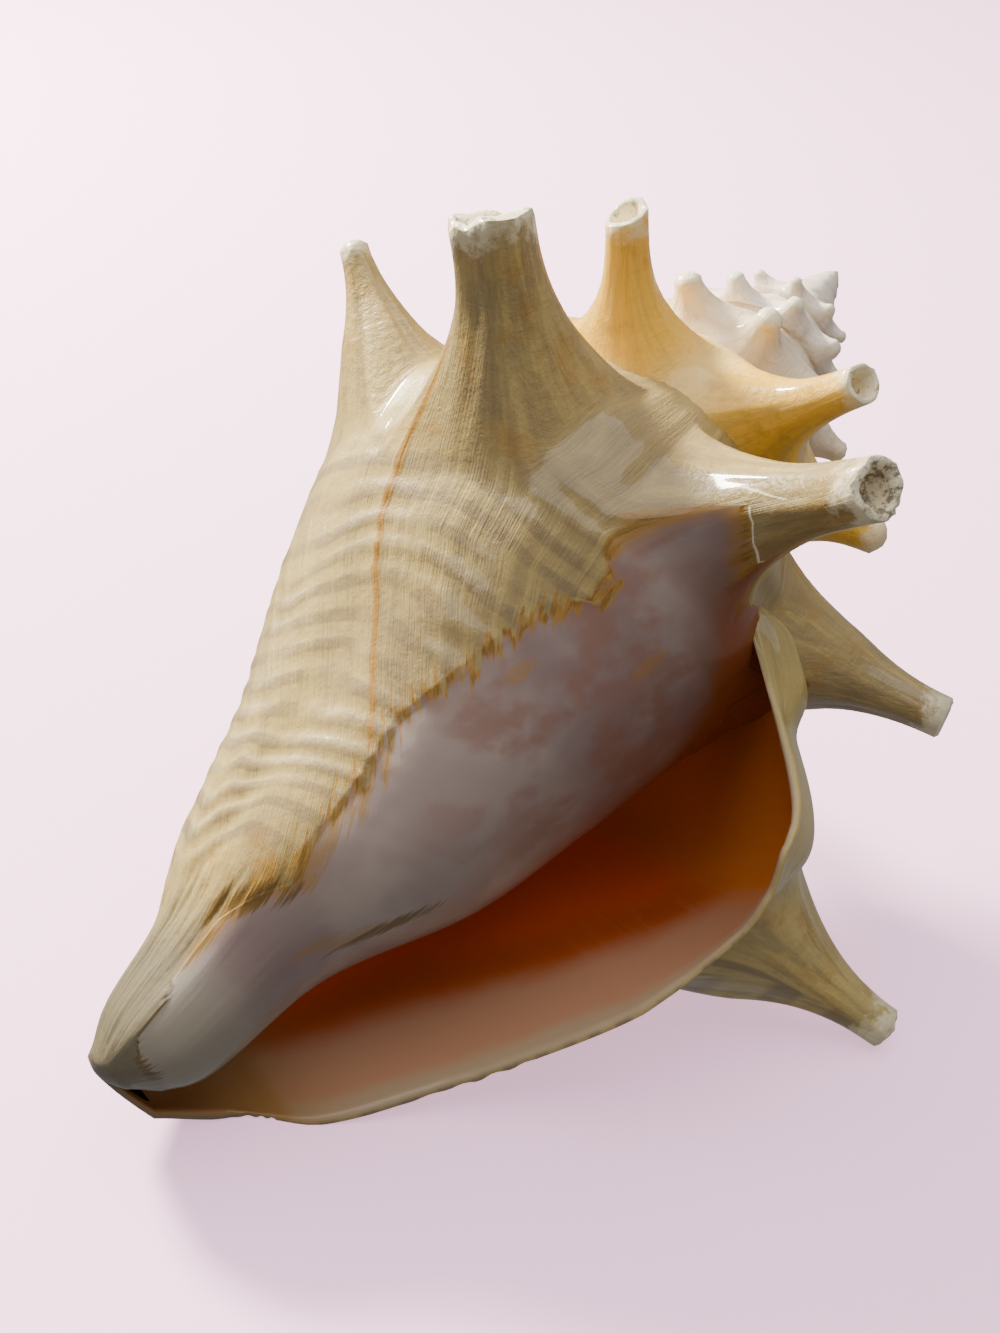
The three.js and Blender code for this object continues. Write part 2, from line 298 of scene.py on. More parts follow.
@dataclass(frozen=True)
class Marks:
    """Where the marks lie, as curves of stage against station.

    The border is where the glaze beside the opening begins, upper its limit in stations below the shoulder, and
    lower the same by the front end. The depth is where it turns brown inside the opening, the rest a golden line
    left by a pause in growth, the crack a thin white line by a spine, and the repair a pale square's stage at
    station 0 with its slope. The width is that of a degree of stage, in millimetres.
    """

    width: float = 0.777
    border_at: Curve = (
        3.9, 4.3, 4.44, 4.54, 4.76, 4.84, 5.2, 5.8, 6.15, 6.6, 7.2, 7.5, 7.75, 8.0, 8.5, 8.7, 9.1, 9.4,
    )
    border: Curve = (
        -308, -311, -312, -317, -318.5, -313, -309, -305, -301, -305, -306, -314, -303, -294, -296, -307, -309, -325,
    )
    depth_at: Curve = (3.6, 4.0, 4.2, 4.3, 4.5, 4.6, 4.9, 5.2, 6.6, 7.0, 8.0, 9.0)
    depth: Curve = (-334, -336, -338, -346, -353, -360, -372, -384, -392, -396, -404, -410)
    rest_at: Curve = (3.6, 4.3, 4.41, 4.83, 5.26, 5.77, 6.24, 6.6, 7.5, 8.5, 10)
    rest: Curve = (-258, -255.6, -256.6, -258.5, -265.7, -279.9, -295.2, -306, -328, -342, -352)
    crack_at: Curve = (2.7, 3.05, 3.5, 3.9, 4.05)
    crack: Curve = (-311, -312.8, -314.5, -316.5, -321)
    upper_at: Curve = (-380, -362, -355, -350, -342, -337, -328, -322, -314, -312, -309, -300)
    upper: Curve = (4.8, 4.3, 4.0, 3.3, 3.74, 4.08, 4.04, 4.0, 4.0, 3.91, 4.05, 4.1)
    spread_at: Curve = (0.0, 3.0, 4.2, 4.5, 10.0)
    spread: Curve = (-130.0, -60.0, 0.0, 8.0, 68.0)
    lower: float = 9.4
    repair: tuple[float, float] = (-283.4, -3.43)
    far: float = 20.0

    def beyond(self, stage: Grid, station: Grid, at: Curve, line: Curve) -> Grid:
        """Millimetres past a line towards older growth, clipped where it no longer matters."""
        return np.clip((np.interp(station, at, line) - stage) * self.width, -self.far, self.far)

    def age(self, stage: Grid, station: Grid) -> Grid:
        """Millimetres along the growth, level on a growth line: it leans as the rest line does, but not by the lip."""
        lean = np.interp(station, self.rest_at, self.rest) - self.rest[0]
        return (stage - lean * ease(-stage, 20, 220)) * self.width

    def fields(self, stage: Grid, station: Grid) -> dict[str, Grid]:
        """Distances in millimetres inside the glaze and the repair, along the growth, and past the lines.

        Args:
            stage: Growth lines.
            station: Stations.

        Returns:
            Named distances, one to a vertex.
        """
        glaze = self.beyond(stage, station, self.border_at, self.border) * 0.8
        limit = np.interp(stage, self.upper_at, self.upper)
        upper = np.interp(station, self.spread_at, self.spread) - np.interp(limit, self.spread_at, self.spread)
        glaze = np.minimum(np.minimum(glaze, upper), (self.lower - station) * 9)
        past_crack = self.beyond(stage, station, self.crack_at, self.crack)
        past_crack = np.where((station > 2.7) & (station < 3.85), past_crack, self.far)
        beside_arc = np.where((stage > -338) & (stage < -314) & (station < 4.4), upper + 1.2, self.far)
        beside = 0.39 + 0.55 * station - np.abs(stage - self.repair[0] - self.repair[1] * station)
        within = 1.08 - np.abs(station - 2.37)
        patch = np.minimum(beside * self.width, within * 9) + 0.3 * ripple(stage / 3, station * 3, 30)
        return {
            "patch": np.clip(patch, -9, 9),
            "age": self.age(stage, station),
            "glaze": glaze,
            "depth": self.beyond(stage, station, self.depth_at, self.depth),
            "rest": self.beyond(stage, station, self.rest_at, self.rest),
            "crack": past_crack,
            "scratch": np.clip(beside_arc, -self.far, self.far),
        }


@dataclass(frozen=True)
class Spot:
    """A soft amber or brown blotch: its stage and station, its half widths in millimetres, and how full it is."""

    stage: float
    station: float
    along: float
    across: float
    strength: float = 0.8
    brown: bool = False

    def reach(self, along: Grid, across: Grid, middle: float) -> Grid:
        """How far points lie from the middle, about 1 at the blotch's edge, and more for a faint blotch.

        Args:
            along: Millimetres along the growth, one to a vertex.
            across: Millimetres along a growth line, one to a vertex.
            middle: The same for the blotch's middle.

        Returns:
            One value to a vertex.
        """
        away = (along - self.stage * Marks.width) / self.along
        beside = (across - middle) / self.across
        return away**2 + beside**2 + 1.2 * (1 - self.strength)


SPOTS = (
    Spot(-316.6, 5.48, 2.0, 3.4, 0.8),
    Spot(-337.5, 4.84, 1.6, 4.2, 0.9),
    Spot(-345.5, 7.85, 3.0, 2.4, 0.85),
    Spot(-353.0, 7.62, 4.0, 3.0, 0.95),
    Spot(-301.0, 7.55, 5.0, 2.6, 0.8),
    Spot(-356.0, 7.45, 2.6, 4.2, 0.9, True),
    Spot(-328.0, 6.0, 1.5, 2.0, 0.25),
    Spot(-287.0, 7.9, 3.4, 2.6, 1.0, True),
    Spot(-297.0, 7.8, 4.4, 1.8, 0.95, True),
    Spot(-305.0, 7.72, 4.0, 2.2, 1.0, True),
    Spot(-298.0, 8.25, 2.4, 3.4, 0.9, True),
    Spot(-316.0, 7.6, 3.0, 2.4, 0.5, True),
    Spot(-357.0, 7.5, 2.0, 2.0, 0.5, True),
)


@dataclass(frozen=True)
class Relief:
    """Low relief on the outside: weak spiral cords, growth lines, dents, a puckered suture and the glaze's edge."""

    cord_gap: float = 4.8
    cord_height: float = 0.17
    growth_height: float = 0.12
    dent_height: float = 0.3
    glaze_height: float = 0.45
    pause_depth: float = 0.3
    repair_height: float = 0.3
    fold_height: float = 0.5
    pucker_height: float = 0.35

    def wander(self, along: Grid, across: Grid) -> Grid:
        """How far a spiral band strays sideways, as a share of the gap between bands."""
        return 0.8 * ripple(along / 30, across / 16, 3) + 0.14 * ripple(along / 9, across / 9, 4)

    def height(self, sheet: "Sheet") -> Grid:
        """How far the surface of a sheet stands out, in millimetres.

        Args:
            sheet: The sheet, with its fields.

        Returns:
            The height, one to a vertex.
        """
        station, across = sheet.station, sheet.fields["across"]
        along = sheet.stage * Marks.width
        glaze = ease(sheet.fields["glaze"], -0.5, 0.7)
        calm = 1 - 0.85 * glaze
        cords = np.cos(2 * math.pi * sheet.fields["cord"])
        where = ease(station, 3.4, 4.4) * (1 - ease(station, 8.0, 9.0)) * calm
        height = self.cord_height * cords * where * np.clip(0.5 + 1.3 * ripple(along / 18, across / 9, 5), 0, 1.6)
        age = sheet.fields["age"]
        height = height + self.growth_height * calm * ripple(age / 1.6, across / 40, 6)
        height = height + 1.8 * self.growth_height * calm * ripple(age / 6, across / 50, 7)
        height = height + self.dent_height * (1 - 0.5 * glaze) * ripple(along / 14, across / 12, 8)
        height = height - self.pause_depth * np.exp(-((sheet.fields["rest"] + 0.6) ** 2)) * where
        height = height + self.repair_height * ease(sheet.fields["patch"], -0.3, 0.5)
        fold = ease(station, 7.4, 7.9) * (1 - ease(station, 8.3, 9.2)) * calm
        height = height + fold * (self.fold_height + 0.35 * ripple(along / 3, across / 14, 10))
        pucker = np.exp(-(((station - 0.32) / 0.3) ** 2))
        height = height + pucker * (self.pucker_height + 0.5 * ripple(along / 1.5, station * 0.7, 9))
        return height + self.glaze_height * glaze


@dataclass(frozen=True)
class Spine:
    """One spine on the shoulder, raised where the sheet's squares gather into rings.

    Length is a share of the shoulder's radius, and rise the angle above square to the shell's axis. In millimetres
    are the radius at the base and the tip, the pit's depth, the drop below the shoulder, how ragged and how horned
    (lobes) the end is, and the slant, how much higher the end stands on the side it is facing. Spread is how
    suddenly the foot widens, and crest how sharply the upper side is keeled. Groove is the angle where a side folds
    in, and fold how far. Ridges run lengthwise, and grey darkens the broken end.
    """

    stage: float
    length: float
    rise: float
    base: float
    tip: float
    pit: float = 0.0
    drop: float = 1.0
    spread: float = 2.8
    groove: float = 0.0
    fold: float = 0.0
    ragged: float = 0.0
    ridges: float = 0.05
    crest: float = 0.0
    lobes: float = 0.0
    slant: float = 0.0
    facing: float = 0.0
    grey: float = 0.0
    seed: int = 1

    def profile(self, rings: int, tall: float) -> tuple[Grid, Grid]:
        """Radius and height of each ring, from the middle of the end to the foot.

        Args:
            rings: How many rings the spine takes.
            tall: Its height.

        Returns:
            The radii and the heights.
        """
        if self.pit and rings >= PIT_RINGS:
            top = [(0, -self.pit), (0.4, -0.95 * self.pit), (0.58, -0.5 * self.pit), (0.7, -0.05 * self.pit)]
            top += [(0.84, 0.12 * self.tip), (0.96, 0.02 * self.tip)]
        else:
            top = [(0, 0.55 * self.tip), (0.62, 0.36 * self.tip)]
        share = np.linspace(1, 0, 80)
        side = blend(self.tip, self.base, (1 - share) ** self.spread)
        height = share * tall
        run = np.concatenate([[0], np.cumsum(np.hypot(np.diff(side), np.diff(height)))])
        at = np.linspace(0, run[-1], rings + 1 - len(top))
        radii = np.concatenate([[r * self.tip for r, _ in top], np.interp(at, run, side)])
        heights = np.concatenate([[tall + h for _, h in top], np.interp(at, run, height)])
        return radii, heights

    def axes(self, stage: float) -> tuple[Grid, Grid, Grid, Grid]:
        """The directions that the spine is set out in, in the shell's own frame.

        Args:
            stage: The growth line that it stands on.

        Returns:
            Straight out from the shell's axis, along the spine, ahead along the growth, and towards the front end.
        """
        turned, rise = np.radians([-stage, self.rise])
        outward = np.array([math.cos(turned), math.sin(turned), 0])
        ahead = np.array([math.sin(turned), -math.cos(turned), 0])
        axis = outward * math.cos(rise) + [0, 0, math.sin(rise)]
        return outward, axis, ahead, np.cross(axis, ahead)

    def shape(self, ring: Grid, angle: Grid, rings: int, tall: float) -> tuple[Grid, Grid, Grid]:
        """The spine's shape over the squares that gather into it.

        Args:
            ring: Ring of each vertex, 0 in the middle of the end.
            angle: Its angle round the spine.
            rings: How many rings the spine takes.
            tall: The spine's height.

        Returns:
            The radius, the height, and the share of the spine's height, one to a vertex.
        """
        radii, heights = self.profile(rings, tall)
        radius, lifted = radii[ring], heights[ring]
        share = np.clip(lifted / tall, 0, 1)
        fold = self.fold * np.exp(-((apart(angle, math.radians(self.groove)) / 0.55) ** 2))
        radius = radius * (1 - fold * ease(share, 0.05, 0.6))
        ridge = ripple(angle * 1.6 + 30, share * 1.5, self.seed + 40)
        ridge = ridge + 0.5 * ripple(angle * 4 + 50, share * 2, self.seed + 60)
        radius = radius * (1 + self.ridges * ridge * ease(share, 0.02, 0.3))
        keel = np.exp(-np.abs(apart(angle, -math.pi / 2) / 0.3)) - 0.35
        radius = radius * (1 + self.crest * keel * ease(share, 0.04, 0.3))
        chips = ripple(angle * 1.3 + 20, np.full_like(angle, self.seed * 1.7), self.seed)
        crumbs = ripple(radius * np.cos(angle) / 1.7 + 30, radius * np.sin(angle) / 1.7 + 30, self.seed + 9)
        slope = np.cos(angle - math.radians(self.facing)) * radius / self.tip
        horns = self.lobes * np.cos(2 * angle) * (radius / self.tip) ** 2
        rough = self.ragged * (0.6 * chips + 0.7 * crumbs)
        return radius, lifted + (rough + self.slant * slope + horns) * ease(share, 0.7, 1), share


@dataclass
class Sheet:
    """A grid of the wall: points and the fields that its finish reads, row by row along the growth.

    Attributes:
        name: Name of the piece.
        stage: Growth line of each vertex.
        station: Station of each vertex.
        point: Place of each vertex.
        fields: Named values for the finish, one to a vertex.
    """

    name: str
    stage: Grid
    station: Grid
    point: Grid
    fields: dict[str, Grid] = field(default_factory=dict)

    def normals(self) -> Grid:
        """The outward direction at each vertex.

        Returns:
            One direction to a vertex.
        """
        along = np.gradient(self.point, axis=0)
        across = np.gradient(self.point, axis=1)
        return unit(np.cross(across, along))

    def push(self, amount: Grid) -> None:
        """Moves each vertex outwards by an amount in millimetres."""
        self.point = self.point + self.normals() * amount[..., None]

    def foot(self, height: float, spine: Spine) -> tuple[int, int, int]:
        """Where a spine stands on the grid, and how many rings of squares it takes.

        Args:
            height: Its height along the shell's axis.
            spine: The spine.

        Returns:
            Its row, its column and its rings.
        """
        row = int(np.argmin(np.abs(self.stage[:, 0] - spine.stage)))
        near = (self.station[row] > 1.5) & (self.station[row] < 6)
        column = int(np.argmin(np.where(near, np.abs(self.point[row, :, 2] - height), np.inf)))
        cell = np.linalg.norm(self.point[row + 1, column] - self.point[row, column])
        cell = 0.5 * (cell + np.linalg.norm(self.point[row, column + 1] - self.point[row, column]))
        return row, column, max(LEAST_RINGS, int(round(spine.base / cell)))

    def raise_spine(self, growth: Growth, spine: Spine) -> None:
        """Gathers the squares round a spine's place into rings and lifts them to its shape.

        Args:
            growth: The growth spiral.
            spine: The spine to raise.
        """
        scale = float(growth.scale(spine.stage))
        height = -float(growth.shoulder(spine.stage)) - spine.drop * scale
        row, column, rings = self.foot(height, spine)
        rows = np.arange(max(row - rings, 0), min(row + rings, self.stage.shape[0] - 1) + 1)
        columns = np.arange(max(column - rings, 0), min(column + rings, self.stage.shape[1] - 1) + 1)
        down, right = np.meshgrid(rows - row, columns - column, indexing="ij")
        ring, angle = np.maximum(np.abs(down), np.abs(right)), np.arctan2(right, down)

        outward, axis, ahead, over = spine.axes(self.stage[row, 0])
        root = outward * (growth.shoulder_radius - growth.spine_root) * scale + [0, 0, height]
        radius, lifted, share = spine.shape(ring, angle, rings, growth.shoulder_radius * scale * spine.length)
        place = root + axis * lifted[..., None]
        place = place + ahead * (radius * np.cos(angle))[..., None]
        place = place + over * (radius * np.sin(angle))[..., None]
        block = np.ix_(rows, columns)
        held = ease(ring / rings, 0.62, 1.0)[..., None]
        self.point[block] = blend(place, self.point[block], held)
        inner = ring < rings
        ended = (ring <= END_RINGS) & (rings >= PIT_RINGS) & (spine.pit > 0)
        for key, value in (("tip", np.where(inner, share, 0)), ("broken", ended), ("grey", ended * spine.grey)):
            self.fields[key][block] = np.maximum(self.fields[key][block], value)
        turned = {"turn_x": 4 * np.cos(angle), "turn_y": 4 * np.sin(angle), "up": lifted + spine.stage}
        for key, value in turned.items():
            self.fields[key][block] = np.where(inner, value, self.fields[key][block])


SPINES = (
    Spine(-39, 0.745, 7, 26.5, 3.4, pit=2, drop=10.5, spread=2.3, ragged=0.8, ridges=0.07, seed=2),
    Spine(-84, 0.25, -6, 13, 4.2),
    Spine(-130, 0.79, 0, 16, 4, pit=1.5, ragged=0.5, seed=3),
    Spine(-174, 0.23, 0, 9, 3),
    Spine(-227, 0.56, 29, 12, 2.4, spread=1.8, ridges=0.08, seed=9),
    Spine(
        -269, 0.705, 13, 16, 6.2, pit=1.6, ragged=1.3, groove=90, fold=0.16,
        lobes=1.2, slant=3.1, facing=141, ridges=0.09, seed=4,
    ),
    Spine(-326, 0.965, 3, 14, 4.7, pit=4, ragged=0.9, ridges=0.07, crest=0.2, grey=1.0, seed=5),
    Spine(-378, 0.835, 10.5, 15.5, 3.6, pit=0.8, drop=4.5, spread=2.2, groove=100, fold=0.2, crest=0.15, seed=6),
    Spine(-430, 0.4, 12, 9, 3),
)
EARLY_SPINES = (
    *(Spine(-482 - 49 * i, 0.58, 14, 9.5, 2.6, ragged=0.3, seed=10 + i) for i in range(3)),
    Spine(-628, 0.81, 20, 9.5, 3.4, pit=4, ragged=0.7, slant=1.3, facing=-120, crest=0.1, seed=14),
    Spine(-685, 0.96, 10, 9.5, 3.2, pit=4, ragged=0.4, crest=0.12, seed=15),
    Spine(-737, 0.6, 11, 8.5, 3, ragged=0.3, seed=16),
    *(Spine(-790 - 50 * i, 0.41, 12, 7, 2.2, spread=2.2, seed=20 + i) for i in range(4)),
    Spine(-982, 0.39, 13, 7, 2.2, spread=2.2, seed=25),
    Spine(-1020, 0.39, 14, 7, 2.2, spread=2.2, seed=26),
    *(Spine(-1070 - 45 * i, 0.45, 12, 5.4, 1.9, spread=2.0, seed=30 + i) for i in range(6)),
    *(Spine(-1338 - 43 * i, 0.37, 14, 4, 1.5, spread=1.8, seed=40 + i) for i in range(5)),
    *(Spine(-1553 - 43 * i, 0.4, 14, 2.8, 1.0, spread=1.8, seed=50 + i) for i in range(7)),
)


@dataclass
class Shell:
    """The whole shell, in four pieces of one sheet that meet on growth lines."""

    growth: Growth = field(default_factory=Growth)
    relief: Relief = field(default_factory=Relief)
    marks: Marks = field(default_factory=Marks)
    seam: float = -455.0
    row_step: float = 0.9
    columns: int = 176
    cap_columns: int = 6
    rim_rows: int = 5
    inner_rows: int = 12
    inner_stage: float = -9.0
    lip_edge: float = 1.6
    wall: float = 3.4
    wall_stages: float = 45.0
    cavity_size: tuple[int, int] = (150, 130)
    cavity_end: float = -235.0
    cavity_closes: tuple[float, float] = (205, 235)
    column_size: tuple[int, int] = (110, 96)
    column_starts: tuple[float, float] = (-650, 2.6)
    covered_stage: float = -335.0
    covered_turn: tuple[float, float] = (-120, 0)
    corner_turn: float = 12.0
    corner_station: float = 4.35
    spire_rows: tuple[tuple[float, int], ...] = ((-3240, 207), (-2000, 301), (-1100, 431))
    spire_columns: int = 52
    spire_edge: float = 4.6
    apex_closes: tuple[float, float] = (2900, 3240)
    core_closes: tuple[float, float] = (2760, 2880)

    def measured(self, low: float, high: float) -> tuple[Grid, Grid]:
        """Stations close together, and how far each lies along the outline half a turn behind the lip.

        Args:
            low: First station.
            high: Last station.

        Returns:
            The stations and their distances in millimetres.
        """
        fine = np.linspace(low, high, 400)
        line = self.growth.outline(np.full_like(fine, -TURN / 2), fine)
        return fine, np.concatenate([[0], np.cumsum(np.linalg.norm(np.diff(line, axis=0), axis=1))])

    def stations(self, low: float, high: float, count: int) -> Grid:
        """Stations for a run of columns evenly spaced over the last whorl's outline.

        Args:
            low: First station.
            high: Last station.
            count: How many columns.

        Returns:
            The station of each column.
        """
        fine, run = self.measured(low, high)
        return np.interp(np.linspace(0, run[-1], count), run, fine)

    def to_front(self, low: float, count: int) -> Grid:
        """Stations from one of them to the front end, and on over its cap."""
        return np.concatenate([self.stations(low, 10, count), np.linspace(10, 11, self.cap_columns + 1)[1:]])

    def across(self, station: Grid) -> Grid:
        """Distance in millimetres from the suture to a station, half a turn behind the lip."""
        return np.interp(station, *self.measured(0, 10))

    def weather(self, sheet: Sheet) -> None:
        """Raises the low relief of the outside on a sheet."""
        sheet.push(self.relief.height(sheet) * self.growth.scale(sheet.stage) * (1 - ease(sheet.station, 9.2, 10)))

    def thickness(self, stage: Grid) -> Grid:
        """Thickness of the wall at a growth line behind the lip."""
        return blend(self.lip_edge, self.wall, ease(-np.asarray(stage, float), 0, self.wall_stages))

    def sheet(self, name: str, stages: Grid, stations: Grid) -> Sheet:
        """A grid of the wall's outside over the given growth lines and stations.

        Args:
            name: Name of its piece.
            stages: Growth lines, one to a row.
            stations: Stations, one to a column.

        Returns:
            The sheet, with its fields.
        """
        stage, station = np.meshgrid(stages, stations, indexing="ij")
        point = self.growth.point(stage, station)
        plain = ("tip", "broken", "inside", "turn_x", "turn_y", "up", "covered", "grey")
        fields = {key: np.zeros(stage.shape) for key in plain}
        fields["across"] = self.across(station)
        along = stage * Marks.width
        fields["cord"] = fields["across"] / self.relief.cord_gap + self.relief.wander(along, fields["across"])
        fields.update(self.marks.fields(stage, station))
        for key, brown in (("blot", False), ("browning", True)):
            spots = [spot for spot in SPOTS if spot.brown == brown]
            reaches = [spot.reach(along, fields["across"], self.across(spot.station)) for spot in spots]
            fields[key] = np.clip(np.min(reaches, axis=0), 0, 9)
        return Sheet(name, stage, station, point, fields)

    def inner_sheet(self, name: str, stages: Grid, stations: Grid) -> Sheet:
        """A grid of the wall's inside, laid out as the one of its outside is.

        Args:
            name: Name of its piece.
            stages: Growth lines, one to a row.
            stations: Stations, one to a column.

        Returns:
            The sheet, with its fields.
        """
        sheet = self.sheet(name, stages, stations)
        sheet.point = self.growth.point(sheet.stage, sheet.station, self.thickness(sheet.stage))
        sheet.fields["inside"] += 1
        return sheet

    def covered(self, sheet: Sheet) -> Grid:
        """Which vertices of the whorl before lie inside the last one, behind its lip.

        Args:
            sheet: A sheet of the last whorl.

        Returns:
            1 where the wall above covers the vertex and 0 elsewhere, softened over a few squares.
        """
        inside = np.zeros(sheet.stage.shape)
        turned = np.degrees(np.arctan2(sheet.point[..., 1], sheet.point[..., 0]))
        later = -((turned + TURN / 2) % TURN - TURN / 2)
        first, last = self.covered_turn
        last = np.where(sheet.station < self.corner_station, self.corner_turn, last)
        late = (sheet.stage < self.covered_stage) & (later <= last) & (later > first)
        stations = np.linspace(0, 10, 120)
        for stage in np.arange(-100, self.corner_turn + 0.5):
            ring = self.growth.point(np.full_like(stations, min(stage, 0)), stations, self.lip_edge)
            corner = np.stack([np.hypot(ring[:, 0], ring[:, 1]), ring[:, 2]], 1)
            corner = np.concatenate([corner, [[0, corner[-1, 1]], [0, corner[0, 1]]]])
            where = late & (np.abs(later - stage) <= 0.5)
            spot = np.stack([np.hypot(sheet.point[where][:, 0], sheet.point[where][:, 1]), sheet.point[where][:, 2]], 1)
            start, end = corner, np.roll(corner, -1, axis=0)
            rises = (start[None, :, 1] > spot[:, 1:]) != (end[None, :, 1] > spot[:, 1:])
            slope = (spot[:, 1:] - start[None, :, 1]) / (end[None, :, 1] - start[None, :, 1] + TINY)
            crosses = spot[:, :1] < start[None, :, 0] + slope * (end[None, :, 0] - start[None, :, 0])
            inside[where] = (rises & crosses).sum(1) % 2
        for _ in range(2):
            inside[1:-1, 1:-1] = (inside[:-2, 1:-1] + inside[2:, 1:-1] + inside[1:-1, :-2] + inside[1:-1, 2:]) / 4
        return inside

    def body(self) -> Sheet:
        """The last whorl's outside, its rounded lip edge and the first of its inside.

        Returns:
            The sheet, with its fields.
        """
        stages = np.linspace(self.seam, 0, int(round(-self.seam / self.row_step)) + 1)
        stations = self.to_front(0, self.columns)
        outer = self.sheet("shell_last_whorl", stages, stations)
        self.weather(outer)
        for spine in SPINES:
            outer.raise_spine(self.growth, spine)
        outer.fields["covered"] = self.covered(outer)
        inner = self.inner_sheet("inner", np.linspace(-0.4, self.inner_stage, self.inner_rows), stations)
        return self.joined(outer, self.rim(outer, inner), inner)

    def rim(self, outer: Sheet, inner: Sheet) -> Sheet:
        """The lip's rounded edge, from the last row outside to the first one inside.

        Args:
            outer: The last whorl's outside.
            inner: The first of its inside.

        Returns:
            The sheet between them.
        """
        ahead = unit(outer.point[-1] - outer.point[-3])
        rows = []
        for turn in np.linspace(0, math.pi, self.rim_rows + 2)[1:-1]:
            between = blend(outer.point[-1], inner.point[0], 0.5 - 0.5 * math.cos(turn))
            rows.append(between + ahead * math.sin(turn) * self.lip_edge / 2)
        point = np.stack(rows)
        shape = point.shape[:2]
        fields = {key: np.broadcast_to(value[-1], shape).copy() for key, value in outer.fields.items()}
        fields["inside"] += np.linspace(0.2, 0.9, self.rim_rows)[:, None]
        return Sheet("edge", np.zeros(shape), np.broadcast_to(outer.station[-1], shape), point, fields)

    @staticmethod
    def joined(*sheets: Sheet) -> Sheet:
        """The sheets as one, each after the other along the growth.

        Args:
            sheets: Sheets with the same stations.

        Returns:
            One sheet with the name of the first.
        """
        parts = [np.concatenate([getattr(sheet, part) for sheet in sheets]) for part in ("stage", "station", "point")]
        fields = {key: np.concatenate([sheet.fields[key] for sheet in sheets]) for key in sheets[0].fields}
        return Sheet(sheets[0].name, *parts, fields)

    def cavity(self) -> Sheet:
        """The inside of the outer wall, from the lip back to where the winding hides it.

        Returns:
            The sheet, with its fields.
        """
        rows, columns = self.cavity_size
        stages = np.linspace(self.inner_stage, self.cavity_end, rows)
        sheet = self.inner_sheet("shell_inside", stages, self.stations(0, 9.95, columns))
        middle = sheet.point[:, 20:-10].mean(1, keepdims=True)
        closing = ease(-sheet.stage, *self.cavity_closes)[..., None] ** 2
        sheet.point = blend(sheet.point, np.broadcast_to(middle, sheet.point.shape), closing)
        return sheet

    def column(self) -> Sheet:
        """The wall of the whorl before, where it faces the inside of the last one.

        Returns:
            The sheet, with its fields.
        """
        (rows, columns), (stage, station) = self.column_size, self.column_starts
        sheet = self.sheet("shell_inner_wall", np.linspace(stage, self.seam, rows), self.to_front(station, columns))
        self.weather(sheet)
        return sheet

    def spire(self) -> Sheet:
        """The early whorls, from the apex to the seam with the last one, closed towards the apex.

        Returns:
            The sheet, with its fields.
        """
        ends = [start for start, _ in self.spire_rows[1:]] + [self.seam]
        runs = [np.linspace(start, end, rows)[:-1] for (start, rows), end in zip(self.spire_rows, ends)]
        stations = np.linspace(0, self.spire_edge, self.spire_columns)
        sheet = self.sheet("shell_spire", np.concatenate([*runs, [self.seam]]), stations)
        self.weather(sheet)
        for spine in EARLY_SPINES:
            sheet.raise_spine(self.growth, spine)
        closing = ease(-sheet.stage, *self.apex_closes)
        core = ease(-sheet.stage, *self.core_closes) * ease(3 - sheet.station, 0, 3)
        apex = np.array([0, 0, -self.growth.nub])
        sheet.point = blend(sheet.point, apex, np.maximum(closing, core)[..., None])
        return sheet


@dataclass(frozen=True)
class Pose:
    """How the shell rests: turned about its axis, tipped over, then headed with its opening forward."""

    turn: float = -89.25
    tip: float = 65.38
    heading: float = 45.24

    def placement(self) -> tuple[Grid, Grid]:
        """The turn and the shift from the shell's own frame to the row frame, in millimetres.

        Returns:
            The rotation matrix and the shift, found from the apex of the CAD solid.
        """
        turn = Matrix.Rotation(math.radians(self.turn), 3, "Z")
        tip = Matrix.Rotation(math.radians(self.tip), 3, "Y")
        heading = Matrix.Rotation(math.radians(self.heading), 3, "Z")
        turned = np.array(heading @ tip @ turn)
        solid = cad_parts[NODE].data.vertices
        corners = np.array([corner.co for corner in solid]) / MILLIMETRE
        apex = corners[np.argmax(corners @ turned[:, 2])]
        return turned, apex + turned @ np.array([0, 0, Growth.nub])


@dataclass
class Maker:
    """Turns sheets into Blender pieces that ride with the shell."""

    pose: Pose = field(default_factory=Pose)

    def piece(self, sheet: Sheet, material: bpy.types.Material) -> bpy.types.Object:
        """Adds a grid, sets its vertices to the sheet and dresses it.

        Args:
            sheet: The sheet to make.
            material: Its finish.

        Returns:
            The finished piece.
        """
        turned, shift = self.pose.placement()
        rows, columns = sheet.stage.shape
        bpy.ops.object.select_all(action="DESELECT")
        bpy.ops.mesh.primitive_grid_add(x_subdivisions=columns - 1, y_subdivisions=rows - 1, size=1)
        piece = bpy.context.active_object
        piece.name = sheet.name
        piece.data.name = sheet.name
        place = (sheet.point @ turned.T + shift) * MILLIMETRE
        place = np.clip(place, cad_box[0], cad_box[1])
        mesh = piece.data
        mesh.vertices.foreach_set("co", place.reshape(-1).astype(np.float32))
        values = {**sheet.fields, "stage": sheet.stage, "station": sheet.station}
        for key, value in values.items():
            layer = mesh.attributes.new(key, "FLOAT", "POINT")
            layer.data.foreach_set("value", value.reshape(-1).astype(np.float32))
        mesh.update()
        bpy.ops.object.shade_smooth()
        mesh.materials.append(material)
        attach(piece, BODY)
        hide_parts(NODE)
        LOG.info("%s: %d faces", piece.name, len(mesh.polygons))
        return piece


class Zone(Enum):
    """Growth stages where the outside has a colour of its own."""

    LILAC = -1250
    PINK = -960
    BUFF = -800
    AMBER = -480
    CREAM = -400
    GROWN = -120
    LIP = -30


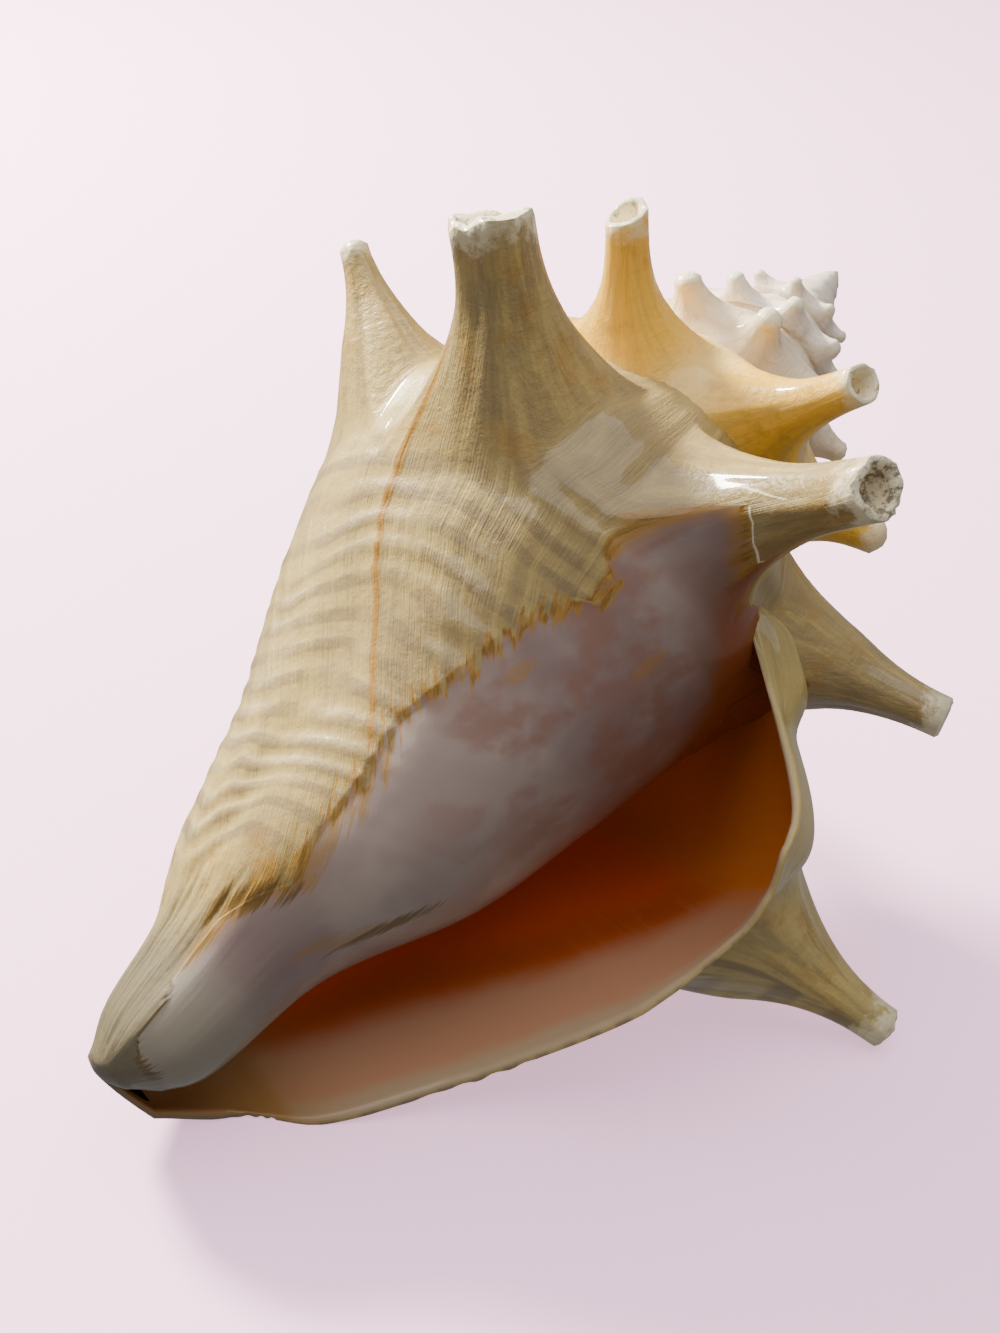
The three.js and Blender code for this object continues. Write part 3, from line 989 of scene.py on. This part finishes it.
class Over(Enum):
    """From where to where a look comes in: stages, stations, shares of a spine's height, or millimetres."""

    LAST_WHORL = (-430, -380)
    YELLOW_STARTS = (-800, -740)
    YELLOW_ENDS = (-520, -600)
    # Painted shade over the older part of the last whorl.
    DULLER = (-262, -306)
    # Painted light: where the deep inside begins to glow.
    GLOWING = (-28, -60)
    BANDS_START = (3.6, 4.6)
    BANDS_END = (7.7, 7.1)
    MOTTLED = (7.2, 8.0)
    LINES_FADE = (8.2, 7.2)
    LOW_STAINS = (6.6, 7.6)
    GREY_FRONT = (7.4, 8.5)
    PAUSE_STARTS = (3.6, 3.9)
    PAUSE_ENDS = (6.6, 6.3)
    SPINE_FOOT = (0.04, 0.2)
    SPINE = (0.0, 0.3)
    SPINE_END = (0.84, 0.98)
    PAUSE_LINE = (1.3, 0.4)
    REPAIR = (-0.05, 0.15)
    YOUNGER = (0.3, -0.6)
    MILKY_STARTS = (5.2, 6.4)
    MILKY_ENDS = (8.2, 7.4)
    BLUSH_ENDS = (7.4, 5.6)
    PALE_FRONT = (8.0, 8.7)
    ROSY = (-18, -3)
    RUSTY = (-9.0, 0.0)
    RUST_ENDS = (5.2, 4.6)
    COVERED = (0.2, 0.7)
    COVER_ENDS = (5.0, 4.4)
    THROAT = (-4, 4)
    UPPER_CORNER = (4.2, 2.8)
    CORNER_DEPTH = (-1, -14)
    THREADS_END = (6.0, 3.0)
    CANAL = (6.4, 7.6)
    STAIN_NARROWS = (4.5, 4.2)
    STAIN_WIDENS = (6.2, 7.2)
    STAIN_OUTSIDE = (-1.6, -0.2)
    STAIN_INSIDE = (2.6, 0.3)
    STAIN_ENDS = (8.6, 8.1)
    LONG_STARTS = (-6.5, -2.5)
    LONG_ENDS = (4.5, 1.5)
    LONG_BELOW = (5.4, 6.0)
    BLOTCH = (1.5, 0.3)
    CORE_OUTSIDE = (-1.2, 0)
    CORE_INSIDE = (1.4, 0.3)
    CORE_ENDS = (8.9, 8.4)
    FRONT_LINE = (0.75, 0.3)
    FRONT_LINE_STARTS = (8.1, 8.6)
    TEETH_START = (4.15, 4.7)
    TEETH_END = (8.9, 8.3)
    FRONT_TEETH = (8.3, 8.7)
    HIDDEN = (0.3, 0.7)
    GLAZE = (-0.3, 0.5)
    WELL_IN = (0.5, 2.0)
    HAIRLINE = (0.26, 0.1)
    LIP_EDGE = (0.35, 0.75)
    SMOOTH = (-0.5, 0.7)


@dataclass(frozen=True)
class Value:
    """A number or a colour that varies over the surface, and goes through sums as a plain number does."""

    nodes: "Nodes"
    socket: Socket

    def __add__(self, other: "Value | float") -> "Value":
        """This and another."""
        return self.nodes.math("ADD", self, other)

    def __sub__(self, other: "Value | float") -> "Value":
        """This less another."""
        return self.nodes.math("SUBTRACT", self, other)

    def __rsub__(self, other: float) -> "Value":
        """A plain number less this."""
        return self.nodes.math("SUBTRACT", other, self)

    def __mul__(self, other: "Value | float") -> "Value":
        """This times another."""
        return self.nodes.math("MULTIPLY", self, other)

    def __truediv__(self, other: float) -> "Value":
        """This over a plain number."""
        return self.nodes.math("DIVIDE", self, other)

    def __abs__(self) -> "Value":
        """This without its sign."""
        return self.nodes.math("ABSOLUTE", self)

    def most(self, other: "Value") -> "Value":
        """The greater of this and another."""
        return self.nodes.math("MAXIMUM", self, other)

    def step(self, low: float, high: float) -> "Value":
        """A smooth step from 0 at low to 1 at high.

        Args:
            low: Where the step begins.
            high: Where it ends, below low for a step down.

        Returns:
            The share from 0 to 1.
        """
        node = self.nodes.add("MapRange", interpolation_type="SMOOTHSTEP")
        for socket, value in (("Value", self), ("From Min", low), ("From Max", high)):
            self.nodes.feed(node.inputs[socket], value)
        return Value(self.nodes, node.outputs["Result"])

    def over(self, reach: Over) -> "Value":
        """A smooth step over one of the named reaches."""
        return self.step(*reach.value)


@dataclass
class Nodes:
    """A material's node tree, built up value by value."""

    name: str
    material: bpy.types.Material = field(init=False)

    def __post_init__(self) -> None:
        """Makes the empty material."""
        self.material = bpy.data.materials.new(self.name)
        self.material.use_nodes = True

    def add(self, kind: str, **settings: str) -> bpy.types.Node:
        """Adds a shader node with its settings.

        Args:
            kind: The node's kind, without the words that all shader nodes begin with.
            settings: Its settings by name.

        Returns:
            The node.
        """
        node = self.material.node_tree.nodes.new("ShaderNode" + kind)
        for key, setting in settings.items():
            setattr(node, key, setting)
        return node

    def feed(self, socket: Socket, value: Value | Color | float) -> None:
        """Links a socket to a value, or sets it to a number or a colour.

        Args:
            socket: A node's input.
            value: What it gets.
        """
        if isinstance(value, Value):
            self.material.node_tree.links.new(value.socket, socket)
        elif isinstance(value, tuple):
            socket.default_value = (*value, 1)
        else:
            socket.default_value = value

    def read(self, name: str) -> Value:
        """One of the sheet's fields."""
        return Value(self, self.add("Attribute", attribute_name=name).outputs["Fac"])

    def place(self) -> Value:
        """The point on the shell in the row frame, in millimetres.

        Returns:
            The point.
        """
        scaled = self.add("VectorMath", operation="SCALE")
        self.feed(scaled.inputs["Scale"], 1 / MILLIMETRE)
        self.feed(scaled.inputs[0], Value(self, self.add("TexCoord").outputs["Object"]))
        return Value(self, scaled.outputs[0])

    def math(self, operation: str, first: Value | float, second: Value | float = 0.0) -> Value:
        """One sum of two values.

        Args:
            operation: What is done with the two.
            first: The first value.
            second: The second value.

        Returns:
            The outcome.
        """
        node = self.add("Math", operation=operation)
        self.feed(node.inputs[0], first)
        self.feed(node.inputs[1], second)
        return Value(self, node.outputs[0])

    def vector(self, along: Value, across: Value, third: Value | float = 0.0) -> Value:
        """A vector from three values.

        Args:
            along: The first value.
            across: The second value.
            third: The third value.

        Returns:
            The vector.
        """
        node = self.add("CombineXYZ")
        for socket, value in zip(node.inputs, (along, across, third)):
            self.feed(socket, value)
        return Value(self, node.outputs[0])

    def noise(self, vector: Value, scale: float, detail: float = 3.0, roughness: float = 0.55) -> Value:
        """Soft noise from 0 to 1 about a half.

        Args:
            vector: Where the noise is read.
            scale: Bumps to a unit.
            detail: How many times finer bumps are added.
            roughness: How strong the finer bumps are.

        Returns:
            The noise.
        """
        node = self.add("TexNoise")
        for socket, value in zip(("Vector", "Scale", "Detail", "Roughness"), (vector, scale, detail, roughness)):
            self.feed(node.inputs[socket], value)
        return Value(self, node.outputs["Fac"])

    def mix(self, share: Value, first: Value | Color, second: Value | Color) -> Value:
        """The colour a share of the way from the first to the second.

        Args:
            share: The share of the second colour.
            first: The first colour.
            second: The second colour.

        Returns:
            The colour.
        """
        node = self.add("Mix", data_type="RGBA")
        for socket, value in ((0, share), (6, first), (7, second)):
            self.feed(node.inputs[socket], value)
        return Value(self, node.outputs[2])

    def ramp(self, value: Value, stops: list[tuple[float, Color]], low: float, high: float) -> Value:
        """A colour ramp over a range of values.

        Args:
            value: What the ramp reads.
            stops: Values in that range with their colours, in order.
            low: Value at the ramp's start.
            high: Value at its end.

        Returns:
            The colour.
        """
        node = self.add("ValToRGB")
        node.color_ramp.interpolation = "EASE"
        self.feed(node.inputs[0], (value - low) / (high - low))
        elements = node.color_ramp.elements
        while len(elements) < len(stops):
            elements.new(0.5)
        for element, (at, color) in zip(elements, stops):
            element.position = (at - low) / (high - low)
            element.color = (*color, 1)
        return Value(self, node.outputs[0])

    def bump(self, height: Value, distance: float, strength: float) -> Value:
        """A normal that leans with a height.

        Args:
            height: The height, in units of the distance.
            distance: The unit of height, in metres.
            strength: How much of the lean shows.

        Returns:
            The normal.
        """
        node = self.add("Bump")
        for socket, value in (("Height", height), ("Distance", distance), ("Strength", strength)):
            self.feed(node.inputs[socket], value)
        return Value(self, node.outputs[0])


@dataclass(frozen=True)
class Finish:
    """The shell's one finish: polished outside, glaze beside the opening, and the coloured inside."""

    lilac_white: Color = (0.95, 0.82, 0.68)
    pink_white: Color = (0.95, 0.76, 0.5)
    pale_buff: Color = (0.93, 0.66, 0.25)
    ochre: Color = (0.88, 0.5, 0.05)
    # Olive grey of the front end, darkened partly as painted shade.
    front: Color = (0.13, 0.115, 0.078)
    cream: Color = (0.37, 0.265, 0.1)
    pale_cream: Color = (0.52, 0.375, 0.12)
    olive_cream: Color = (0.38, 0.29, 0.11)
    taupe: Color = (0.22, 0.155, 0.075)
    gold: Color = (0.36, 0.165, 0.015)
    rust: Color = (0.19, 0.1, 0.05)
    chalk: Color = (0.93, 0.82, 0.56)
    worn_grey: Color = (0.2, 0.155, 0.1)
    amber: Color = (0.34, 0.165, 0.014)
    brown: Color = (0.13, 0.07, 0.012)
    glaze_white: Color = (0.37, 0.29, 0.24)
    glaze_lilac: Color = (0.215, 0.145, 0.13)
    glaze_pink: Color = (0.24, 0.125, 0.09)
    glaze_front: Color = (0.25, 0.22, 0.16)
    inside_rim: Color = (0.45, 0.32, 0.19)
    inside_pink: Color = (0.5, 0.25, 0.14)
    # Deep red-brown of the inside, brightened as painted light against the hollow's shade.
    inside_deep: Color = (0.8, 0.105, 0.009)
    # Painted shade: a darker band between the salmon and the deep red-brown.
    inside_dark: Color = (0.47, 0.08, 0.006)
    # Dark throat brown, partly the inside's own colour and partly painted shade of the recess.
    throat: Color = (0.24, 0.065, 0.018)
    inside_amber: Color = (0.62, 0.16, 0.008)
    inside_canal: Color = (0.38, 0.2, 0.065)
    roughness: float = 0.42
    chalk_roughness: float = 0.35
    specular: float = 0.2
    coat: float = 0.5
    coat_roughness: float = 0.07
    # Strength of the painted glow deep inside.
    glow: float = 0.04
    grain_height: float = 0.7 * MILLIMETRE
    grain_strength: float = 0.7
    stair: float = 3.6
    hidden_by: float = 30.0

    def outside(self, nodes: Nodes) -> Value:
        """The outside's colour: each whorl's own, with grey-brown spiral bands and growth lines, and painted shade
        darkening the older part of the last whorl.

        Args:
            nodes: The material's nodes.

        Returns:
            The colour.
        """
        stage, station = nodes.read("stage"), nodes.read("station")
        cloud = nodes.noise(nodes.place(), 0.09)
        drift = stage + (cloud - 0.5) * 60
        base = nodes.ramp(drift, [
            (Zone.LILAC.value, self.lilac_white), (Zone.PINK.value, self.pink_white),
            (Zone.BUFF.value, self.pale_buff), (Zone.AMBER.value, self.pale_buff),
            (Zone.CREAM.value, self.cream), (Zone.GROWN.value, self.cream), (Zone.LIP.value, self.olive_cream),
        ], -1600, 0)
        last = stage.over(Over.LAST_WHORL)
        yellow = stage.over(Over.YELLOW_STARTS) * stage.over(Over.YELLOW_ENDS) * nodes.read("tip").over(Over.SPINE)
        base = nodes.mix(yellow, base, self.ochre)
        base = nodes.mix(cloud.step(0.42, 0.62) * 0.5 * last, base, self.pale_cream)
        base = nodes.mix(nodes.read("rest").over(Over.YOUNGER) * last * 0.4, base, self.pale_cream)
        # Painted shade: the last whorl from stage -262 back is mixed towards taupe, standing in for the shade that
        # falls there from the tall spines and the whorl's form.
        base = nodes.mix(drift.over(Over.DULLER) * last * 0.42, base, self.taupe)
        cords = nodes.math("COSINE", nodes.read("cord") * (2 * math.pi))
        broken_up = nodes.noise(nodes.vector(stage * (Marks.width / 2), nodes.read("across"), 3.0), 0.12, 2)
        bands = cords.step(0.4, -0.6) * broken_up.step(0.26, 0.54)
        bands = bands * station.over(Over.BANDS_START) * last * station.over(Over.BANDS_END)
        base = nodes.mix(bands * 0.8, base, self.taupe)
        return self.worn(nodes, self.marked(nodes, self.lined(nodes, base)))

    def lined(self, nodes: Nodes, base: Value) -> Value:
        """The colour with fine growth lines, and lengthwise streaks on the spines.

        Args:
            nodes: The material's nodes.
            base: The colour so far.

        Returns:
            The colour.
        """
        station, age, across = (nodes.read(name) for name in ("station", "age", "across"))
        fine = nodes.noise(nodes.vector(age, across * 0.05), 0.8, 4, 0.7)
        broad = nodes.noise(nodes.vector(age, across * 0.08, 4.0), 0.22, 3, 0.6)
        turn = nodes.vector(nodes.read("turn_x"), nodes.read("turn_y"), nodes.read("up") * 0.09)
        streaks = nodes.noise(turn, 0.75, 3, 0.75)
        lines = nodes.mix(nodes.read("tip").over(Over.SPINE_FOOT), fine * 0.55 + broad * 0.45, streaks)
        mottled = nodes.noise(nodes.place(), 0.3, 3, 0.7)
        lines = nodes.mix(station.over(Over.MOTTLED), lines, mottled)
        last = nodes.read("stage").over(Over.LAST_WHORL) * 0.3 + 0.2
        shown = last * (station.over(Over.LINES_FADE) * 0.65 + 0.35)
        base = nodes.mix(lines.step(0.5, 0.64) * shown, base, self.taupe)
        return nodes.mix(lines.step(0.49, 0.36) * shown, base, self.pale_cream)

    def marked(self, nodes: Nodes, base: Value) -> Value:
        """The colour with golden stains, the front end darkened to olive grey, partly its own tone and partly painted
        shade, the pause's golden line and the repair.

        Args:
            nodes: The material's nodes.
            base: The colour so far.

        Returns:
            The colour.
        """
        station, along = nodes.read("station"), nodes.read("stage") * Marks.width
        stained = nodes.noise(nodes.place(), 0.16, 4, 0.65)
        low = station.over(Over.LOW_STAINS) + nodes.read("tip").over(Over.SPINE_FOOT) * 0.8
        base = nodes.mix(low * stained.step(0.5, 0.68) * 0.45, base, self.gold)
        # Partly painted shade: the front end, which faces down and away from the key lamp, is darkened to olive grey as
        # well as given its own grey tone.
        base = nodes.mix(station.over(Over.GREY_FRONT) * 0.85, base, self.front)
        ragged = (nodes.noise(nodes.vector(along * 1.2, nodes.read("across") * 0.5), 0.9) - 0.5) * 1.5
        paused = station.over(Over.PAUSE_STARTS) * station.over(Over.PAUSE_ENDS)
        line = (abs(nodes.read("rest")) + ragged).over(Over.PAUSE_LINE) * paused
        base = nodes.mix(line * 0.85, base, self.gold)
        return nodes.mix(nodes.read("patch").over(Over.REPAIR) * 0.13, base, self.pale_cream)

    def worn(self, nodes: Nodes, base: Value) -> Value:
        """The colour with the spines' ends worn pale, and the broken ones chalky with grey pores.

        Args:
            nodes: The material's nodes.
            base: The colour so far.

        Returns:
            The colour.
        """
        worn = nodes.read("tip") + (nodes.noise(nodes.place(), 0.35, 4, 0.7) - 0.5) * 0.5
        base = nodes.mix(worn.over(Over.SPINE_END) * 0.6, base, self.chalk)
        pores = nodes.noise(nodes.place(), 0.55, 4, 0.7) + nodes.read("grey") * 0.12
        bare = nodes.mix(pores.step(0.54, 0.7), self.chalk, self.worn_grey)
        return nodes.mix(nodes.read("broken") * 0.9, base, bare)

    def glazed(self, nodes: Nodes) -> Value:
        """The glaze's colour, clouded from bluish white to lilac and dull pink, brown where it runs inside, that brown
        partly the inside's own colour and partly painted shade of the recess.

        Args:
            nodes: The material's nodes.

        Returns:
            The colour.
        """
        station = nodes.read("station")
        cloud = nodes.noise(nodes.place(), 0.05)
        milky = station.over(Over.MILKY_STARTS) * station.over(Over.MILKY_ENDS)
        base = nodes.mix(cloud.step(0.38, 0.64) * 0.55 + milky * 0.5, self.glaze_lilac, self.glaze_white)
        blush = nodes.noise(nodes.vector(nodes.read("stage") * Marks.width, nodes.read("across"), 7.0), 0.09)
        base = nodes.mix(blush.step(0.44, 0.64) * 0.85 * station.over(Over.BLUSH_ENDS), base, self.glaze_pink)
        base = nodes.mix(station.over(Over.PALE_FRONT) * 0.85, base, self.glaze_front)
        depth = nodes.read("depth") + (cloud - 0.5) * 6
        base = nodes.mix(depth.over(Over.ROSY) * 0.6, base, self.glaze_pink)
        edge = depth.over(Over.RUSTY) * station.over(Over.RUST_ENDS)
        base = nodes.mix(edge * 0.75, base, self.rust)
        # Partly painted shade: past the depth line and on the wall covered by the last whorl, the colour goes to a
        # throat brown darker than the inside's own red-brown, because this recess lies in shade.
        hidden = nodes.read("covered").over(Over.COVERED) * station.over(Over.COVER_ENDS)
        return nodes.mix(depth.over(Over.THROAT).most(hidden), base, self.throat)

    def inner(self, nodes: Nodes) -> Value:
        """The inside's colour, from the pale rim through salmon to deep red-brown, with a darker band painted as shade
        behind the salmon and the deepest part brightened as painted light against the hollow's shade.

        Args:
            nodes: The material's nodes.

        Returns:
            The colour.
        """
        station = nodes.read("station")
        depth = nodes.read("stage") + (nodes.noise(nodes.place(), 0.06) - 0.5) * 8
        # Partly painted light: the band at -31 is darker than the red-brown past it as painted shade, and the deepest
        # red-brown is brighter to make up for the hollow's own shade.
        base = nodes.ramp(depth, [
            (-46, self.inside_deep), (-31, self.inside_dark), (-19, self.inside_pink),
            (-7, self.inside_pink), (-1.5, self.inside_rim),
        ], -60, 10)
        corner = station.over(Over.UPPER_CORNER) * depth.over(Over.CORNER_DEPTH)
        base = nodes.mix(corner, base, self.inside_amber)
        threads = nodes.noise(nodes.vector(depth * 0.05, nodes.read("across")), 0.9, 2)
        base = nodes.mix(threads.step(0.52, 0.6) * station.over(Over.THREADS_END) * 0.2, base, self.inside_pink)
        return nodes.mix(station.over(Over.CANAL), base, self.inside_canal)

    def stain(self, nodes: Nodes, border: Value) -> tuple[Value, Value]:
        """The amber stain and the brown one: toothed strokes along the glaze's edge, and the blotches.

        Args:
            nodes: The material's nodes.
            border: Distance inside the glaze's edge.

        Returns:
            How much of each shows.
        """
        station, plain = nodes.read("station"), nodes.read("glaze")
        strokes = nodes.noise(nodes.vector(nodes.read("age"), nodes.read("across") * 0.2), 0.85, 3, 0.65)
        wide = station.over(Over.STAIN_NARROWS) * 1.2 + station.over(Over.STAIN_WIDENS) * 3.0
        beside = border.over(Over.STAIN_OUTSIDE) * (border - wide).over(Over.STAIN_INSIDE)
        long = plain.over(Over.LONG_STARTS) * plain.over(Over.LONG_ENDS)
        long = long * strokes.step(0.53, 0.58) * station.over(Over.LONG_BELOW)
        amber = (beside * strokes.step(0.32, 0.46)).most(long) * station.over(Over.STAIN_ENDS)
        swing = strokes - 0.5
        amber = amber.most((nodes.read("blot") + swing * 2.2).over(Over.BLOTCH) * 0.8)
        browned = (nodes.read("browning") + swing * 5.0).over(Over.BLOTCH) * 0.95
        core = border.over(Over.CORE_OUTSIDE) * border.over(Over.CORE_INSIDE) * strokes.step(0.46, 0.58)
        line = abs(border).over(Over.FRONT_LINE) * station.over(Over.FRONT_LINE_STARTS)
        edged = (core * station.over(Over.CORE_ENDS) * 0.6).most(line * 0.8)
        return amber, edged.most(browned)

    def edge(self, nodes: Nodes) -> Value:
        """Distance inside the glaze's edge, toothed by strokes that follow the growth lines.

        Args:
            nodes: The material's nodes.

        Returns:
            The distance in millimetres, less than 0 outside the glaze.
        """
        station, age, across = (nodes.read(name) for name in ("station", "age", "across"))
        teeth = nodes.noise(nodes.vector(age, across * 0.25), 0.5, 3, 0.65)
        swayed = age + nodes.noise(nodes.vector(age, across * 0.1, 5.0), 0.12, 2) * 14.0
        stair = (swayed - nodes.math("SNAP", swayed, self.stair) - self.stair / 2) * 0.8
        length = station.over(Over.TEETH_END) * station.over(Over.TEETH_START)
        front = station.over(Over.FRONT_TEETH) * 0.35
        ragged = ((teeth - 0.5) * 9.0 + stair) * (length * 0.9 + (front + 0.1))
        return nodes.read("glaze") + ragged + nodes.read("covered").over(Over.HIDDEN) * self.hidden_by

    def polished(self, nodes: Nodes, base: Value) -> bpy.types.NodeInputs:
        """Sets the colour and the gloss that the whole shell shares.

        Args:
            nodes: The material's nodes.
            base: Its colour.

        Returns:
            The shader's sockets.
        """
        shader = nodes.material.node_tree.nodes["Principled BSDF"].inputs
        nodes.feed(shader["Base Color"], base)
        nodes.feed(shader["Roughness"], self.roughness)
        nodes.feed(shader["Specular IOR Level"], self.specular)
        nodes.feed(shader["Coat Weight"], self.coat)
        nodes.feed(shader["Coat Roughness"], self.coat_roughness)
        return shader

    def grained(self, nodes: Nodes, base: Value, shown: Value | float) -> bpy.types.Material:
        """The outside's surface, dull where a spine is broken and finely grained along the growth lines.

        Args:
            nodes: The material's nodes.
            base: Its colour.
            shown: How much of the grain shows.

        Returns:
            The material.
        """
        shader = self.polished(nodes, base)
        nodes.feed(shader["Roughness"], nodes.read("broken") * self.chalk_roughness + self.roughness)
        fine = nodes.noise(nodes.vector(nodes.read("age"), nodes.read("across") * 0.06), 2.2, 3, 0.6)
        wrinkle = nodes.noise(nodes.place(), 0.5, 3, 0.65)
        rough = nodes.read("tip").over(Over.SPINE) * 0.3 + 0.38
        relief = (fine * 0.42 + wrinkle * rough) * shown
        nodes.feed(shader["Normal"], nodes.bump(relief, self.grain_height, self.grain_strength))
        return nodes.material

    def whorl(self) -> bpy.types.Material:
        """The last whorl's material: the outside, the glaze with its stains, and the inside's edge at the lip.

        Returns:
            The material.
        """
        nodes = Nodes("shell last whorl")
        border = self.edge(nodes)
        glaze = border.over(Over.GLAZE)
        base = nodes.mix(glaze, self.outside(nodes), self.glazed(nodes))
        amber, brown = self.stain(nodes, border)
        on_glaze = glaze * border.over(Over.WELL_IN) * 0.3
        base = nodes.mix(amber * (0.85 - on_glaze), base, self.amber)
        base = nodes.mix(brown, base, self.brown)
        hairline = nodes.math("MINIMUM", abs(nodes.read("crack")), abs(nodes.read("scratch")))
        base = nodes.mix(hairline.over(Over.HAIRLINE) * 0.75, base, self.chalk)
        inside = nodes.read("inside").over(Over.LIP_EDGE)
        base = nodes.mix(inside, base, self.inner(nodes))
        smooth = nodes.read("glaze").over(Over.SMOOTH) * 0.85
        return self.grained(nodes, base, 1.0 - smooth.most(inside))

    def early(self) -> bpy.types.Material:
        """The spire's material, which has no glaze."""
        nodes = Nodes("shell spire")
        return self.grained(nodes, self.outside(nodes), 1.0)

    def lining(self) -> bpy.types.Material:
        """The inside's material, smooth all over, with a painted glow deep inside that stands in for light through the
        thin wall.

        Returns:
            The material.
        """
        nodes = Nodes("shell inside")
        shader = self.polished(nodes, self.inner(nodes))
        # Painted light: the deep inside glows red-brown, as light through the thin wall would make it.
        nodes.feed(shader["Emission Color"], self.inside_deep)
        nodes.feed(shader["Emission Strength"], nodes.read("stage").over(Over.GLOWING) * self.glow)
        return nodes.material


@dataclass
class Studio:
    """A pale floor, soft lamps, a sky and the camera where the photo was taken.

    The camera's lens and middle are in pixels of the photo, and its turn in degrees.
    """

    floor_size: float = 6.0
    floor_paint: Color = (0.86, 0.53, 0.72)
    floor_glow: Color = (0.9, 0.52, 0.72)
    floor_strength: float = 1.1
    floor_roughness: float = 0.9
    sky_color: Color = (0.9, 0.88, 0.92)
    sky_strength: float = 0.36
    aim: Triple = (0, 0, 0.05)
    camera_place: Triple = (-0.00845, -0.25897, 0.21900)
    camera_turn: Triple = (56.926, -0.264, 0.002)
    photo: tuple[float, float] = (1000, 1333)
    middle: tuple[float, float] = (480.82, 660.22)
    lens: float = 1900.0
    sensor: float = 36.0

    def build(self) -> None:
        """Adds the floor, lamps, sky and camera."""
        self.floor()
        self.lamp("key", (-0.56, 0.56, 0.6), 52, 0.22, (1.0, 0.95, 0.82))
        self.lamp("sky", (0.0, 0.1, 1.6), 35, 2.2, (1.0, 1.0, 1.0))
        world = bpy.data.worlds.new("sky")
        bpy.context.scene.world = world
        world.use_nodes = True
        light = world.node_tree.nodes["Background"].inputs
        light["Color"].default_value = (*self.sky_color, 1)
        light["Strength"].default_value = self.sky_strength
        self.camera()

    def floor(self) -> None:
        """Adds the floor, which glows a little and is left out of the shell's own light."""
        bpy.ops.mesh.primitive_plane_add(size=self.floor_size)
        floor = bpy.context.active_object
        floor.name = "floor"
        nodes = Nodes("floor")
        paint = nodes.material.node_tree.nodes["Principled BSDF"].inputs
        nodes.feed(paint["Base Color"], self.floor_paint)
        nodes.feed(paint["Emission Color"], self.floor_glow)
        nodes.feed(paint["Emission Strength"], self.floor_strength)
        nodes.feed(paint["Roughness"], self.floor_roughness)
        floor.visible_diffuse = False
        floor.visible_glossy = False
        floor.data.materials.append(nodes.material)

    def lamp(self, name: str, place: Triple, power: float, size: float, color: Color) -> None:
        """Adds a square area lamp that looks at the shell.

        Args:
            name: Name of the lamp.
            place: Where it hangs, in metres.
            power: Its power in watts.
            size: The length of its side, in metres.
            color: Its colour.
        """
        bpy.ops.object.light_add(type="AREA", location=place)
        lamp = bpy.context.active_object
        lamp.name = name
        lamp.data.energy = power
        lamp.data.size = size
        lamp.data.color = color
        toward = Vector(self.aim) - Vector(place)
        lamp.rotation_euler = toward.to_track_quat("-Z", "Y").to_euler()

    def camera(self) -> None:
        """Adds the camera, shifted so that the photo's middle is its own."""
        turn = tuple(math.radians(angle) for angle in self.camera_turn)
        bpy.ops.object.camera_add(location=self.camera_place, rotation=turn)
        camera = bpy.context.active_object
        wide, tall = self.photo
        camera.data.sensor_width = self.sensor
        camera.data.lens = self.lens / tall * self.sensor
        camera.data.shift_x = (wide / 2 - self.middle[0]) / tall
        camera.data.shift_y = (self.middle[1] - tall / 2) / tall
        camera.data.clip_start = 0.01
        bpy.context.scene.camera = camera


def main() -> None:
    """Builds the shell, then the studio, and reports each piece."""
    logging.basicConfig(level=logging.INFO, format="%(message)s")
    shell, maker, finish = Shell(), Maker(), Finish()
    whorl = finish.whorl()
    maker.piece(shell.body(), whorl)
    maker.piece(shell.cavity(), finish.lining())
    maker.piece(shell.column(), whorl)
    maker.piece(shell.spire(), finish.early())
    Studio().build()


if __name__ == "__main__":
    main()
